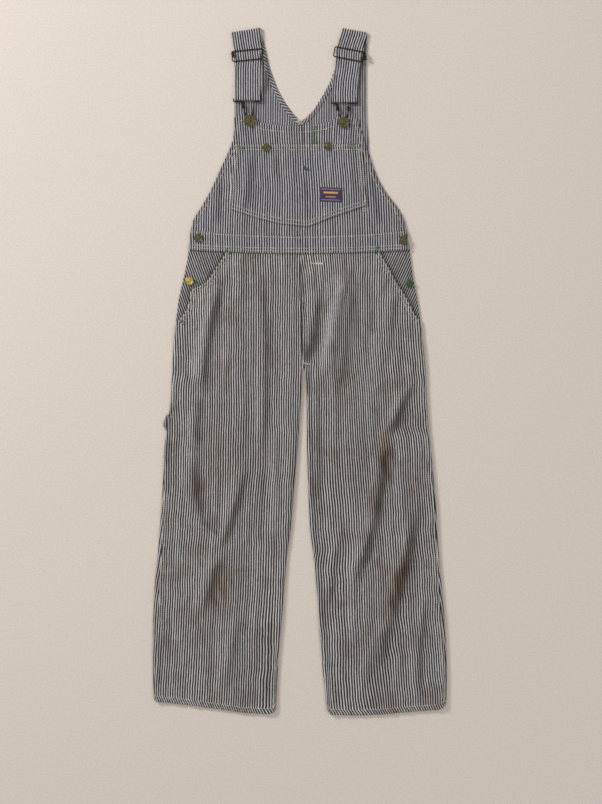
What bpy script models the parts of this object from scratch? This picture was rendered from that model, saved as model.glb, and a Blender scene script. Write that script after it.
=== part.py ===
"""Bib overalls in striped work cloth, laid flat on their back with the front up.

+Z is up and away from the surface that the garment lies on, +Y runs from the hems to the
shoulders, and -X is the left of the garment as it is looked at from the front. The origin
lies on the surface, under the middle of the garment. Sizes below are in millimetres.
"""

import math

import bmesh
import bpy
from mathutils import Vector

MM = 0.001

# Cloth and seams
WALL = 1.6
STRAP_WALL = 1.4
FACING_WALL = 1.2
LABEL_WALL = 1.0
SEAM_GAP = 0.3
HALF_GAP = SEAM_GAP / 2

# Levels of the layers above the surface
BACK_TOP = WALL
FRONT_UNDER = BACK_TOP + SEAM_GAP
FRONT_TOP = FRONT_UNDER + WALL
OVERLAY_UNDER = FRONT_TOP + SEAM_GAP
OVERLAY_TOP = OVERLAY_UNDER + WALL
FACING_TOP = FRONT_UNDER + FACING_WALL
POCKET_LIFT = FACING_TOP + SEAM_GAP - FRONT_UNDER

# Rolled edges of the legs, where the cloth turns from the front to the back
ROLL_WIDE = 5.0
ROLL_ARC = 6.6
ROLL_MIDDLE = 3.1
ROLL_TOP = 6.2
ROLL_UNEVEN = 0.5
ROLL_WAVE = 47.0
ROLL_SETTLE = 22.0
ROLL_BLEND = 38.0
LEG_PUFF = 0.7
PUFF_BLEND = 60.0
FOLD_BLEND = 30.0
FOLD_START = 4.0
MOST_HOLLOW = 3.8
HOLLOW_EASE = 0.4

# The step of each leg front over its pocket facing
LIFT_REACH = 3.0
LIFT_SLOPE = 22.0
LIFT_START = 1.0
LIFT_TOP_BLEND = 14.0
LIFT_END = 34.0
LIFT_END_BLEND = 30.0

# Heights along the body at which the making changes
BAND_TOP = 282.0
BAND_TOP_SAG = 10.5
BAND_BOTTOM = 243.0
BAND_BOTTOM_SAG = 7.0
BAND_HALF = 215.0
BIB_BOTTOM = 261.0
LEG_TOP = 257.0
LEG_SHOWS = 240.5
VENT_END = 97.0
CROTCH = 12.0
HEM = -675.0
HEM_DEPTH = 12.0
HEM_EDGE = 0.6
HEM_STEP = 0.5
HEM_SLANT_START = -480.0
HEM_SLANT_BLEND = 150.0

# Small parts
STRAP_BUTTON = 23.2
TACK_BUTTON = 17.0
POCKET_BUTTON = 16.4
BUTTON_STEM = 0.8
HIP_STEM = 1.2
POST_SHARE = 0.12
WIRE = 1.1
WIRE_BEND = 2.6
LABEL_SIZE = (45.0, 28.0)
LABEL_CENTRE = (61.8, 353.7)
LABEL_TURN = -2.0
BINDING_WIDE = 9.0
MOST_MITRE = 0.6
TOOL_LOOP_LOW = 1.2

# Silhouette of the legs: at each height, the x of both outer and both inner edges
LEG_EDGES = {
    "columns": ("y", "left_outer", "left_inner", "right_inner", "right_outer"),
    "rows": (
        (LEG_TOP, -220.5, 1, 1, 218),
        (240, -222.3, 1, 1, 220),
        (197, -230, 1.6, 1.6, 225),
        (150, -241, 2.4, 2.4, 234),
        (VENT_END, -248, 3.2, 3.2, 241.5),
        (50, -253, 4.4, 4.4, 247),
        (25, -254.6, 5.8, 5.8, 249.5),
        (CROTCH, -255.2, 7.6, 7.6, 250.5),
        (0, -255.8, 4.8, 11.0, 251.4),
        (-20, -256.4, 4.3, 12.4, 252.3),
        (-60, -257.8, 2.2, 13.7, 254),
        (-115, -266.4, -1.6, 14.2, 258),
        (-155, -270.6, -4.4, 14.6, 262),
        (-255, -275.4, -13.2, 17.8, 271.4),
        (-315, -280, -18.4, 20.4, 275),
        (-366, -284, -25.2, 27.2, 278),
        (-425, -289.8, -30.4, 33.2, 283.4),
        (-495, -293.2, -35.8, 37.9, 289.2),
        (-570, -293.8, -42.4, 43.2, 292.8),
        (-640, -293.6, -45.6, 50.6, 293.6),
        (HEM, -292.4, -47.4, 54.0, 292.4),
    ),
}

# The hem line of each leg, which dips and has soft corners
HEM_LINE = {
    "columns": ("x", "y"),
    "rows": (
        (-294, -652),
        (-287, -659),
        (-228, -665.5),
        (-159, -674.5),
        (-113, -681.5),
        (-62, -684),
        (-52, -681),
        (-46, -670),
        (54, -676),
        (62, -685.5),
        (118, -687),
        (164, -685),
        (210, -680.5),
        (276, -675.5),
        (286, -672),
        (293, -662),
    ),
}

# How far the outseam lies round on the front of each leg
OUTSEAM_WRAP = {
    "columns": ("y", "left", "right"),
    "rows": (
        (VENT_END, 0, 0),
        (-100, 0, 0),
        (-250, 5, 4),
        (-400, 10, 6),
        (-480, 13, 8),
        (-560, 9, 5),
        (-640, 4, 2),
        (HEM, 3, 2),
    ),
}

# Edges of the bib, which run down as armholes to the waist
BIB_EDGES = {
    "columns": ("y", "left", "right"),
    "rows": (
        (516, -131, 116),
        (492, -131.6, 119.6),
        (470, -132.4, 126.5),
        (452, -137.5, 131.5),
        (428, -148, 139.5),
        (395, -163, 151.5),
        (362, -178, 169),
        (328, -197.5, 195),
        (304, -212, 207.4),
        (270, -219.6, 215.8),
        (240, -222.3, 220),
    ),
}

BIB_TOP = {
    "columns": ("x", "y"),
    "rows": (
        (-131, 508),
        (-114, 515),
        (-98, 515),
        (-86, 501),
        (-40, 492.5),
        (8, 491.5),
        (60, 500),
        (76, 511),
        (96, 512),
        (116, 505),
    ),
}

# Outer edges of the vest back, from the waist to the shoulders
VEST_EDGES = {
    "columns": ("y", "left", "right"),
    "rows": (
        (653, -133, 135),
        (590, -130.4, 133),
        (524, -130.2, 133.2),
        (470, -131.4, 136.6),
        (428, -147, 140.6),
        (395, -162, 152.5),
        (362, -177, 169.6),
        (328, -196.5, 195),
        (304, -211, 207.4),
        (270, -218.6, 215.4),
        (LEG_TOP + SEAM_GAP, -219.9, 217.7),
    ),
}

# Edge of the neck, a V cut into the vest back
NECK_EDGE = {
    "columns": ("x", "y"),
    "rows": (
        (-70.4, 653),
        (-66.6, 636),
        (-60.4, 607),
        (-45, 566),
        (-31, 540.5),
        (-12.6, 515),
        (2, 501),
        (13, 508),
        (28.4, 524.5),
        (47, 554.5),
        (60.8, 580),
        (70, 606),
        (76.4, 633),
        (79.4, 653),
    ),
}

# Edge of each front where it is cut away over the slant pocket and the side vent
POCKET_EDGE = {
    "columns": ("y", "left", "right"),
    "rows": (
        (LEG_TOP, -146.6, 158.4),
        (240, -148, 160),
        (221, -158.6, 170),
        (207, -168, 178.6),
        (192, -177.6, 186.4),
        (182, -185, 191.6),
        (175, -194.5, 196),
        (170, -204, 199.4),
        (165, -216, 203),
        (150, -219.6, 211.5),
        (135, -222.4, 219.6),
        (115, -231.6, 230),
        (VENT_END, -247.6, 241.2),
    ),
}

# Hidden edge of each pocket facing, under the front
FACING_EDGE = {
    "columns": ("y", "left", "right"),
    "rows": (
        (LEG_TOP, -147, 158.8),
        (240, -148.4, 160.4),
        (221, -159.2, 170.6),
        (207, -155, 166),
        (175, -152, 164),
        (150, -166, 178),
        (115, -196, 206),
        (VENT_END, -226, 224),
    ),
}

# Patch pocket on the bib: its two sides, and a lower edge that comes to a blunt point
POCKET_TOP = 455.0
POCKET_BORDER = 14.0
POCKET_SIDES = {
    "columns": ("y", "left", "right"),
    "rows": (
        (POCKET_TOP, -127.6, 121),
        (430, -135, 126.4),
        (380, -138.4, 130),
        (320, -138.6, 137),
    ),
}
POCKET_LOW_EDGE = {
    "columns": ("x", "y"),
    "rows": (
        (-138.6, 324.5),
        (-80.4, 305),
        (-40.6, 295.5),
        (14.4, 289.5),
        (28, 294.5),
        (66.4, 309.5),
        (137, 333.5),
    ),
}

# Largest folds: crest at its start, middle and end, its rise, and the width of its gentle
# side (towards -X) and of its steep side (towards +X)
FOLD_COLUMNS = ("x0", "y0", "x1", "y1", "x2", "y2", "rise", "gentle", "steep")
LEG_FOLDS = (
    (-154, 205, -184, 88, -201, -62, 3.0, 32, 15),
    (-201, -40, -212, -200, -198, -312, 2.5, 26, 15),
    (-84, 228, -72, -20, -84, -190, 1.9, 20, 15),
    (-112, -180, -140, -292, -170, -372, 2.5, 24, 15),
    (-156, -350, -184, -424, -204, -500, 2.1, 26, 17),
    (-54, -96, -50, -240, -56, -380, 1.7, 16, 16),
    (-124, -480, -140, -560, -156, -640, 1.5, 18, 16),
    (16, 238, 24, 120, 16, 24, 2.2, 14, 22),
    (96, 220, 70, 95, 56, -40, 2.8, 26, 20),
    (182, 160, 174, 85, 166, 0, 1.9, 20, 16),
    (224, -10, 196, -76, 170, -136, 2.4, 22, 15),
    (164, -136, 150, -262, 106, -430, 3.0, 28, 16),
    (236, -240, 196, -430, 130, -630, 2.8, 28, 16),
    (32, -30, 34, -140, 36, -270, 1.6, 14, 14),
    (74, -330, 66, -400, 54, -470, 1.7, 16, 14),
    (246, -440, 236, -560, 232, -650, 1.8, 18, 14),
    (104, -350, 102, -460, 104, -570, 1.4, 18, 18),
)
BIB_FOLDS = (
    (-166, 400, -168, 340, -170, 286, 1.4, 16, 12),
    (142, 410, 150, 345, 158, 286, 1.4, 16, 12),
)
POCKET_FOLDS = (
    (-100, 448, -104, 380, -116, 312, 1.2, 18, 16),
    (-54, 444, -50, 400, -42, 350, 1.0, 16, 14),
    (4, 392, 6, 350, 10, 300, 1.1, 16, 14),
    (100, 440, 102, 390, 108, 330, 1.1, 16, 14),
)
BAND_FOLDS = (
    (-112, 290, -112, 260, -112, 230, 0.7, 16, 12),
    (-40, 290, -40, 260, -40, 230, 0.6, 20, 14),
    (70, 290, 70, 260, 70, 230, 0.7, 18, 12),
    (150, 290, 150, 260, 150, 230, 0.5, 18, 14),
)

# Rows and columns of the meshes
LEG_ROWS = (
    LEG_TOP, 240, 221, 207, 192, 182, 175, 170, 165, 150, 135, 115, VENT_END, 75, 50, 25,
    CROTCH, 0, -20, -60, -115, -155, -205, -255, -300, -345, -390, -435, -480, -525, -570,
    -610, -645,
)
HEM_ROWS = (HEM + HEM_DEPTH + HEM_EDGE, HEM + HEM_DEPTH, HEM)
FRONT_MIDDLE_COLUMNS = 14
BACK_MIDDLE_COLUMNS = 3
ROLL_STEPS = 4
BACK_SEAM_STEPS = 6
FACING_COLUMNS = 5
BIB_COLUMNS = 16
BIB_ROWS = 12
POCKET_COLUMNS = 14
POCKET_ROWS = 8
BAND_COLUMNS = 22
STRAP_TURN_STEPS = 6

# Straps: each station gives the left and the right edge of the ribbon
STRAPS = {
    "left": {
        "back": ((-133, 653.3, -70.4, 653.3), (-136, 668, -76, 674)),
        "fold": (-138, 677.5, -78, 687.1),
        "front": (
            (-137, 671, -77, 680),
            (-134, 650, -76, 656),
            (-131.8, 640, -76.4, 645),
            (-131.2, 631, -77, 636),
            (-129.6, 621, -77, 625),
            (-131, 605, -75.6, 607),
            (-131, 580, -75.4, 582),
            (-131, 556, -77, 556),
            (-130.8, 549, -78.4, 549),
        ),
        "wrap": (-130.6, 542.4, -78.6, 542.4),
        "return_to": (-129, 622, -78, 622),
    },
    "right": {
        "back": ((79.4, 653.3, 135, 653.3), (82, 672, 134.6, 667)),
        "fold": (85, 686.1, 134.4, 677.5),
        "front": (
            (84, 680, 133, 671),
            (75.8, 655, 128, 646),
            (73.2, 645, 126, 635),
            (72.4, 639, 124.6, 629),
            (72.4, 628, 123, 619),
            (70, 607, 118.6, 605),
            (66, 580, 116.6, 580),
            (64.4, 556, 114, 556),
            (64.6, 549, 113.6, 549),
        ),
        "wrap": (64.8, 538.6, 113.4, 538.6),
        "return_to": (72.6, 616, 118, 614),
    },
}
RETURN_SLACK = 0.2
RETURN_LEVEL = BACK_TOP + SEAM_GAP + RETURN_SLACK + STRAP_WALL / 2
LOOP_LEVEL = RETURN_LEVEL + WIRE + SEAM_GAP + STRAP_WALL / 2
STRAP_LEVEL = RETURN_LEVEL + STRAP_WALL + SEAM_GAP
SLIDER_BAR_LEVEL = STRAP_LEVEL + STRAP_WALL / 2 + SEAM_GAP + WIRE
SLIDER_MIDDLE_LEVEL = BACK_TOP + SEAM_GAP + WIRE
STRAP_OVER_BAR = SLIDER_MIDDLE_LEVEL + WIRE + SEAM_GAP + STRAP_WALL / 2

SLIDERS = {
    "left": {"centre": (-104.2, 632.4), "half": (30.4, 10.0), "turn": 5.4},
    "right": {"centre": (98.8, 633.9), "half": (29.6, 9.9), "turn": -10.9},
}
SLIDER_ENDS = 3.4
SLIDER_LOBE = 1.2

STRAP_BUTTONS = {"left": (-100.4, 501.9), "right": (87.8, 498.3)}
LOOP_NECKS = {"left": (-13.0, 8.6), "right": (-12.4, 9.6)}
LOOP_SIDE_CLEAR = 2.0
LOOP_BAR_DROP = 5.6
LOOP_POST_CLEAR = 0.4
LOOP_NECK_DROP = 12.0
LOOP_NECK_TAPER = 0.92
LOOP_RING_START = 200.0
LOOP_RING_TURN = 140.0
LOOP_RING_STEPS = 6

SMALL_BUTTONS = (
    ("left_pocket_button", -66.6, 447.9, POCKET_BUTTON, BUTTON_STEM, "bib_pocket"),
    ("right_pocket_button", 55.8, 450.5, POCKET_BUTTON, BUTTON_STEM, "bib_pocket"),
    ("left_waist_button", -202.6, 266.9, TACK_BUTTON, BUTTON_STEM, "waistband"),
    ("right_waist_button", 207.0, 262.5, TACK_BUTTON, BUTTON_STEM, "waistband"),
    ("left_hip_button", -221.0, 181.5, TACK_BUTTON, HIP_STEM, "facing"),
    ("right_hip_button", 218.6, 176.5, TACK_BUTTON, HIP_STEM, "facing"),
)
BUTTON_SEATS = {"bib_pocket": OVERLAY_TOP, "waistband": OVERLAY_TOP, "facing": FACING_TOP}

# Profile of a button above its stem: the share of its radius, and the level
BUTTON_PROFILE = (
    (2 * POST_SHARE, 0.0),
    (0.92, 0.0),
    (1.0, 1.0),
    (0.9, 2.2),
    (0.66, 1.6),
    (0.3, 2.4),
)

COLOURS = {
    "cloth": (0.13, 0.15, 0.22),
    "cloth_pale": (0.22, 0.24, 0.30),
    "brass": (0.36, 0.29, 0.10),
    "wire": (0.10, 0.075, 0.055),
    "label": (0.05, 0.02, 0.13),
    "loop": (0.06, 0.07, 0.11),
}


def column(table, name):
    return table["columns"].index(name)


def smooth_step(value):
    value = min(max(value, 0.0), 1.0)
    return value * value * (3 - 2 * value)


def mix(a, b, share):
    return a + (b - a) * share


def read(table, name, at):
    """The named column at a place between the rows, along a smooth curve through them."""
    rows = sorted(table["rows"])
    wanted = column(table, name)
    at = min(max(at, rows[0][0]), rows[-1][0])
    i = max(k for k in range(len(rows) - 1) if rows[k][0] <= at)

    def slope(k):
        low, high = max(k - 1, 0), min(k + 1, len(rows) - 1)
        return (rows[high][wanted] - rows[low][wanted]) / (rows[high][0] - rows[low][0])

    step = rows[i + 1][0] - rows[i][0]
    t = (at - rows[i][0]) / step
    start, end = rows[i][wanted], rows[i + 1][wanted]
    return (
        (2 * t**3 - 3 * t**2 + 1) * start
        + (t**3 - 2 * t**2 + t) * step * slope(i)
        + (3 * t**2 - 2 * t**3) * end
        + (t**3 - t**2) * step * slope(i + 1)
    )


def read_straight(table, name, at):
    """As read, but along straight lines, for an edge with corners."""
    rows = sorted(table["rows"])
    wanted = column(table, name)
    at = min(max(at, rows[0][0]), rows[-1][0])
    i = max(k for k in range(len(rows) - 1) if rows[k][0] <= at)
    share = (at - rows[i][0]) / (rows[i + 1][0] - rows[i][0])
    return mix(rows[i][wanted], rows[i + 1][wanted], share)


def fold_height(folds, x, y):
    """Sum of the folds at a place. A crest runs on a bowed line and dies out at its ends."""
    height = 0.0
    for row in folds:
        fold = dict(zip(FOLD_COLUMNS, row))
        along = (fold["y0"] - y) / (fold["y0"] - fold["y2"])
        if not 0 < along < 1:
            continue
        middle = (fold["y0"] - fold["y1"]) / (fold["y0"] - fold["y2"])
        bow = fold["x1"] - mix(fold["x0"], fold["x2"], middle)
        bow /= middle * (1 - middle)
        crest = mix(fold["x0"], fold["x2"], along) + bow * along * (1 - along)
        width = fold["gentle"] if x < crest else fold["steep"]
        across = abs(x - crest) / width
        if across < 1:
            ends = smooth_step(min(along, 1 - along) * 4)
            height += fold["rise"] * ends * (1 + math.cos(math.pi * across)) / 2
    return height


def finish(name, mesh, colour, smooth=True):
    obj = bpy.data.objects.new(name, mesh)
    bpy.context.scene.collection.objects.link(obj)
    material = bpy.data.materials.new(name)
    material.use_nodes = True
    shader = material.node_tree.nodes["Principled BSDF"]
    shader.inputs["Base Color"].default_value = (*COLOURS[colour], 1)
    shader.inputs["Roughness"].default_value = 0.35 if colour in ("brass", "wire") else 0.9
    shader.inputs["Metallic"].default_value = 1.0 if colour in ("brass", "wire") else 0.0
    mesh.materials.append(material)
    if smooth:
        mesh.shade_smooth()
        mesh.set_sharp_from_angle(angle=math.radians(40))
    return obj


def mesh_from(name, points, faces):
    """A closed mesh of points in millimetres, with its faces turned outwards."""
    mesh = bpy.data.meshes.new(name)
    mesh.from_pydata([Vector(p) * MM for p in points], [], faces)
    work = bmesh.new()
    work.from_mesh(mesh)
    bmesh.ops.recalc_face_normals(work, faces=work.faces)
    work.to_mesh(mesh)
    work.free()
    return mesh


def cloth_panel(name, over, under, colour="cloth"):
    """A wall of cloth between two grids of points that have the same rows and columns."""
    rows, columns = len(over), len(over[0])
    points = [p for grid in (over, under) for row in grid for p in row]

    def at(layer, r, c):
        return (layer * rows + r) * columns + c

    faces = []
    for layer in (0, 1):
        for r in range(rows - 1):
            for c in range(columns - 1):
                faces.append(
                    (at(layer, r, c), at(layer, r, c + 1), at(layer, r + 1, c + 1), at(layer, r + 1, c))
                )
    for c in range(columns - 1):
        for r in (0, rows - 1):
            faces.append((at(0, r, c), at(0, r, c + 1), at(1, r, c + 1), at(1, r, c)))
    for r in range(rows - 1):
        for c in (0, columns - 1):
            faces.append((at(0, r, c), at(0, r + 1, c), at(1, r + 1, c), at(1, r, c)))
    return finish(name, mesh_from(name, points, faces), colour)


def cloth_plate(name, outline, low, high, colour="cloth"):
    """A flat wall of cloth with the given outline."""
    count = len(outline)
    points = [(x, y, high) for x, y in outline] + [(x, y, low) for x, y in outline]
    faces = [tuple(range(count)), tuple(range(2 * count - 1, count - 1, -1))]
    for i in range(count):
        j = (i + 1) % count
        faces.append((i, count + i, count + j, j))
    return finish(name, mesh_from(name, points, faces), colour, smooth=False)


# Legs: a flattened tube cut into a front and a back


def leg_edge(side, where, y):
    return read(LEG_EDGES, f"{side}_{where}", y)


def roll_share(where, y):
    """0 where the layers lie flat and apart, 1 where they join in a rolled edge."""
    start = VENT_END if where == "outer" else CROTCH
    return smooth_step((start - y) / ROLL_BLEND)


def pocket_lift(side, x, y):
    """How far the front rides over the pocket facing."""
    hidden = read(FACING_EDGE, side, y)
    inward = (x - hidden) if side == "left" else (hidden - x)
    across = 1 - smooth_step((inward - LIFT_REACH) / LIFT_SLOPE)
    above = smooth_step((LEG_SHOWS - LIFT_START - y) / LIFT_TOP_BLEND)
    below = smooth_step((y - VENT_END + LIFT_END) / LIFT_END_BLEND)
    return POCKET_LIFT * across * above * below


def leg_top(side, x, y):
    """Height of the front's outer face away from the rolled edges."""
    puff = LEG_PUFF * smooth_step((LEG_SHOWS - y) / PUFF_BLEND)
    shown = smooth_step((LEG_SHOWS - FOLD_START - y) / FOLD_BLEND)
    rise = max(pocket_lift(side, x, y), puff) + fold_height(LEG_FOLDS, x, y) * shown
    return FRONT_TOP + min(rise, MOST_HOLLOW - SEAM_GAP - HOLLOW_EASE * math.exp(-rise))


def hem_y(x, row):
    """Rows are level at the waist and follow the hem line at the bottom."""
    share = smooth_step((HEM_SLANT_START - row) / HEM_SLANT_BLEND)
    return row + (read_straight(HEM_LINE, "y", x) - HEM) * share


def hem_rise(row):
    return HEM_STEP if row <= HEM + HEM_DEPTH else 0.0


def leg_point(side, row, where, across, depth):
    """A point of the leg's tube beside one edge. Across is measured round the roll from the
    edge's middle height, towards the front where positive and towards the back where
    negative. Depth 0 is the outer face and WALL the inner one."""
    edge = leg_edge(side, where, row)
    other = leg_edge(side, "inner" if where == "outer" else "outer", row)
    inward = 1 if other > edge else -1
    share = roll_share(where, row)
    reach = abs(across)
    turn = min(reach / ROLL_ARC, 1) * math.pi / 2
    past = max(reach - ROLL_ARC, 0)
    flat_x = edge + inward * (ROLL_WIDE * min(reach / ROLL_ARC, 1) + past)
    round_x = edge + inward * (depth + (ROLL_WIDE - depth) * (1 - math.cos(turn)) + past)
    x = mix(flat_x, round_x, share)
    if across >= 0:
        rolled_top = ROLL_TOP + ROLL_UNEVEN * math.sin(row / ROLL_WAVE + (edge > 0))
        plain = leg_top(side, flat_x, row)
        settled = smooth_step(past / ROLL_SETTLE)
        crown = mix(plain, max(plain, mix(rolled_top, plain, settled)), share)
        flat_z = crown - depth
        round_z = ROLL_MIDDLE + (crown - depth - ROLL_MIDDLE) * math.sin(turn)
        z = mix(flat_z, round_z, share) + hem_rise(row) * (depth == 0)
    else:
        round_z = ROLL_MIDDLE - (ROLL_MIDDLE - depth) * math.sin(turn)
        z = mix(depth, round_z, share)
    return (x, hem_y(x, row), z)


def front_row(side, row, depth):
    wrap = read(OUTSEAM_WRAP, side, row) if row < VENT_END else 0.0
    start = wrap + HALF_GAP
    if row >= VENT_END:
        cut = abs(read(POCKET_EDGE, side, row) - leg_edge(side, "outer", row))
        start = max(cut, 0.0) + ROLL_ARC - ROLL_WIDE if cut > ROLL_WIDE else start
    width = abs(leg_edge(side, "inner", row) - leg_edge(side, "outer", row))
    near = [start + ROLL_ARC * k / ROLL_STEPS for k in range(ROLL_STEPS + 1)]
    far = [HALF_GAP + ROLL_ARC * k / ROLL_STEPS for k in range(ROLL_STEPS, -1, -1)]
    first = near[-1] - ROLL_ARC + ROLL_WIDE
    last = width - ROLL_WIDE - HALF_GAP
    points = [leg_point(side, row, "outer", across, depth) for across in near]
    for k in range(1, FRONT_MIDDLE_COLUMNS):
        inset = mix(first, last, k / FRONT_MIDDLE_COLUMNS)
        if inset < width / 2:
            across = inset - ROLL_WIDE + ROLL_ARC
            points.append(leg_point(side, row, "outer", across, depth))
        else:
            across = width - inset - ROLL_WIDE + ROLL_ARC
            points.append(leg_point(side, row, "inner", across, depth))
    points += [leg_point(side, row, "inner", across, depth) for across in far]
    return points


def back_row(side, row, depth):
    wrap = read(OUTSEAM_WRAP, side, row) if row < VENT_END else 0.0
    start = wrap - HALF_GAP
    end = -ROLL_ARC - HALF_GAP
    width = abs(leg_edge(side, "inner", row) - leg_edge(side, "outer", row))
    points = []
    for k in range(BACK_SEAM_STEPS + 1):
        across = mix(start, end, k / BACK_SEAM_STEPS)
        points.append(leg_point(side, row, "outer", across, depth))
    for k in range(1, BACK_MIDDLE_COLUMNS):
        inset = mix(ROLL_WIDE, width - ROLL_WIDE, k / BACK_MIDDLE_COLUMNS)
        across = -(inset - ROLL_WIDE + ROLL_ARC)
        points.append(leg_point(side, row, "outer", across, depth))
    for k in range(ROLL_STEPS, -1, -1):
        across = -(HALF_GAP + ROLL_ARC * k / ROLL_STEPS)
        points.append(leg_point(side, row, "inner", across, depth))
    return points


def make_legs():
    rows = LEG_ROWS + HEM_ROWS
    for side in ("left", "right"):
        for name, row_of in (("front", front_row), ("back", back_row)):
            over = [row_of(side, row, 0.0) for row in rows]
            under = [row_of(side, row, WALL) for row in rows]
            cloth_panel(f"{side}_leg_{name}", over, under)


def make_facings():
    """The cloth behind each slant pocket and down the side vent."""
    rows = [row for row in LEG_ROWS if row >= VENT_END]
    for side in ("left", "right"):
        toward = 1 if side == "left" else -1
        over, under = [], []
        for row in rows:
            start = leg_edge(side, "outer", row) + toward * HALF_GAP
            end = read(FACING_EDGE, side, row)
            line = [mix(start, end, k / FACING_COLUMNS) for k in range(FACING_COLUMNS + 1)]
            over.append([(x, row, FACING_TOP) for x in line])
            under.append([(x, row, FRONT_UNDER) for x in line])
        cloth_panel(f"{side}_pocket_facing", over, under, "cloth_pale")


# Body


def neck_line(inset):
    """The neck's edge moved into the cloth by inset."""
    points = [Vector(p) for p in NECK_EDGE["rows"]]
    line = []
    for i, point in enumerate(points):
        before = points[max(i - 1, 0)]
        after = points[min(i + 1, len(points) - 1)]
        along = (after - before).normalized()
        outward = Vector((along.y, -along.x))
        into = (point - before).normalized() if i else along
        corner = max(outward.dot(Vector((into.y, -into.x))), MOST_MITRE)
        moved = point + outward * inset / corner
        line.append((moved.x, point.y if i in (0, len(points) - 1) else moved.y))
    return line


def make_vest_back():
    heights = [row[0] for row in VEST_EDGES["rows"]]
    left = [(read(VEST_EDGES, "left", y), y) for y in heights]
    right = [(read(VEST_EDGES, "right", y), y) for y in reversed(heights)]
    neck = neck_line(BINDING_WIDE + SEAM_GAP)
    cloth_plate("vest_back", left + right + neck[::-1], 0.0, BACK_TOP, "cloth_pale")


def make_neck_binding():
    edge = neck_line(0.0)
    inside = neck_line(BINDING_WIDE)
    over = [[(*p, BACK_TOP) for p in line] for line in (edge, inside)]
    under = [[(*p, 0.0) for p in line] for line in (edge, inside)]
    cloth_panel("neck_binding", over, under)


def make_bib():
    over, under = [], []
    for r in range(BIB_ROWS + 1):
        line_over, line_under = [], []
        for c in range(BIB_COLUMNS + 1):
            share = c / BIB_COLUMNS
            top_x = mix(BIB_TOP["rows"][0][0], BIB_TOP["rows"][-1][0], share)
            y = mix(BIB_BOTTOM, read(BIB_TOP, "y", top_x), r / BIB_ROWS)
            x = mix(read(BIB_EDGES, "left", y), read(BIB_EDGES, "right", y), share)
            rise = 0.0 if inside_pocket(x, y) else fold_height(BIB_FOLDS, x, y)
            line_over.append((x, y, FRONT_TOP + rise))
            line_under.append((x, y, FRONT_UNDER + rise))
        over.append(line_over)
        under.append(line_under)
    cloth_panel("bib", over, under)


def inside_pocket(x, y):
    """Whether a place lies under the bib pocket or close beside it, where the bib is plain."""
    left = read(POCKET_SIDES, "left", y) - POCKET_BORDER
    right = read(POCKET_SIDES, "right", y) + POCKET_BORDER
    return left < x < right


def make_bib_pocket():
    over, under = [], []
    low_ends = [POCKET_LOW_EDGE["rows"][0][0], POCKET_LOW_EDGE["rows"][-1][0]]
    for r in range(POCKET_ROWS + 1):
        line_over, line_under = [], []
        for c in range(POCKET_COLUMNS + 1):
            share = c / POCKET_COLUMNS
            low = read_straight(POCKET_LOW_EDGE, "y", mix(*low_ends, share))
            y = mix(POCKET_TOP, low, r / POCKET_ROWS)
            x = mix(read(POCKET_SIDES, "left", y), read(POCKET_SIDES, "right", y), share)
            rise = fold_height(POCKET_FOLDS, x, y)
            line_over.append((x, y, OVERLAY_TOP + rise))
            line_under.append((x, y, OVERLAY_UNDER + rise))
        over.append(line_over)
        under.append(line_under)
    cloth_panel("bib_pocket", over, under)


def band_edges(x):
    """Top and bottom of the waistband, which sag towards the middle."""
    sag = 1 - (x / BAND_HALF) ** 2
    return BAND_TOP - BAND_TOP_SAG * sag, BAND_BOTTOM - BAND_BOTTOM_SAG * sag


def make_waistband():
    over, under = [], []
    for down in (0.0, 0.5, 1.0):
        level = mix(BAND_TOP, BAND_BOTTOM, down)
        left, right = read(BIB_EDGES, "left", level), read(BIB_EDGES, "right", level)
        line = [mix(left, right, c / BAND_COLUMNS) for c in range(BAND_COLUMNS + 1)]
        points = [(x, mix(*band_edges(x), down)) for x in line]
        over.append([(x, y, OVERLAY_TOP + fold_height(BAND_FOLDS, x, y)) for x, y in points])
        under.append([(x, y, OVERLAY_UNDER) for x, y in points])
    cloth_panel("waistband", over, under)


def make_label():
    wide, high = LABEL_SIZE
    turn = math.radians(LABEL_TURN)
    outline = []
    for sx, sy in ((-1, -1), (1, -1), (1, 1), (-1, 1)):
        u, v = sx * wide / 2, sy * high / 2
        x = LABEL_CENTRE[0] + u * math.cos(turn) - v * math.sin(turn)
        y = LABEL_CENTRE[1] + u * math.sin(turn) + v * math.cos(turn)
        outline.append((x, y))
    low = OVERLAY_TOP + SEAM_GAP
    cloth_plate("label", outline, low, low + LABEL_WALL, "label")


def make_tool_loop():
    """The corner of the tool loop that looks out from behind the left leg."""
    heights = (-86, -96, -108, -117)
    reach = (3.2, 7.2, 7.0, 1.8)
    edge = [(leg_edge("left", "outer", y) - 2 * HALF_GAP, y) for y in heights]
    corner = [(x - out, y) for (x, y), out in zip(edge, reach)]
    top = TOOL_LOOP_LOW + 2 * WALL
    cloth_plate("tool_loop", edge + corner[::-1], TOOL_LOOP_LOW, top, "loop")


# Straps


def arc_stations(edge, centre_level, radius, steps, rising):
    """Stations round a fold. The edge is the line that the fold reaches furthest to."""
    left, right = Vector(edge[:2]), Vector(edge[2:])
    side = (right - left).normalized()
    ahead = Vector((-side.y, side.x)) * (1 if rising else -1)
    stations = []
    for k in range(steps + 1):
        angle = math.pi * k / steps
        back_off = ahead * (radius * math.sin(angle) - radius)
        level = centre_level - radius * math.cos(angle) * (1 if rising else -1)
        stations.append((left + back_off, right + back_off, level))
    return stations


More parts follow.
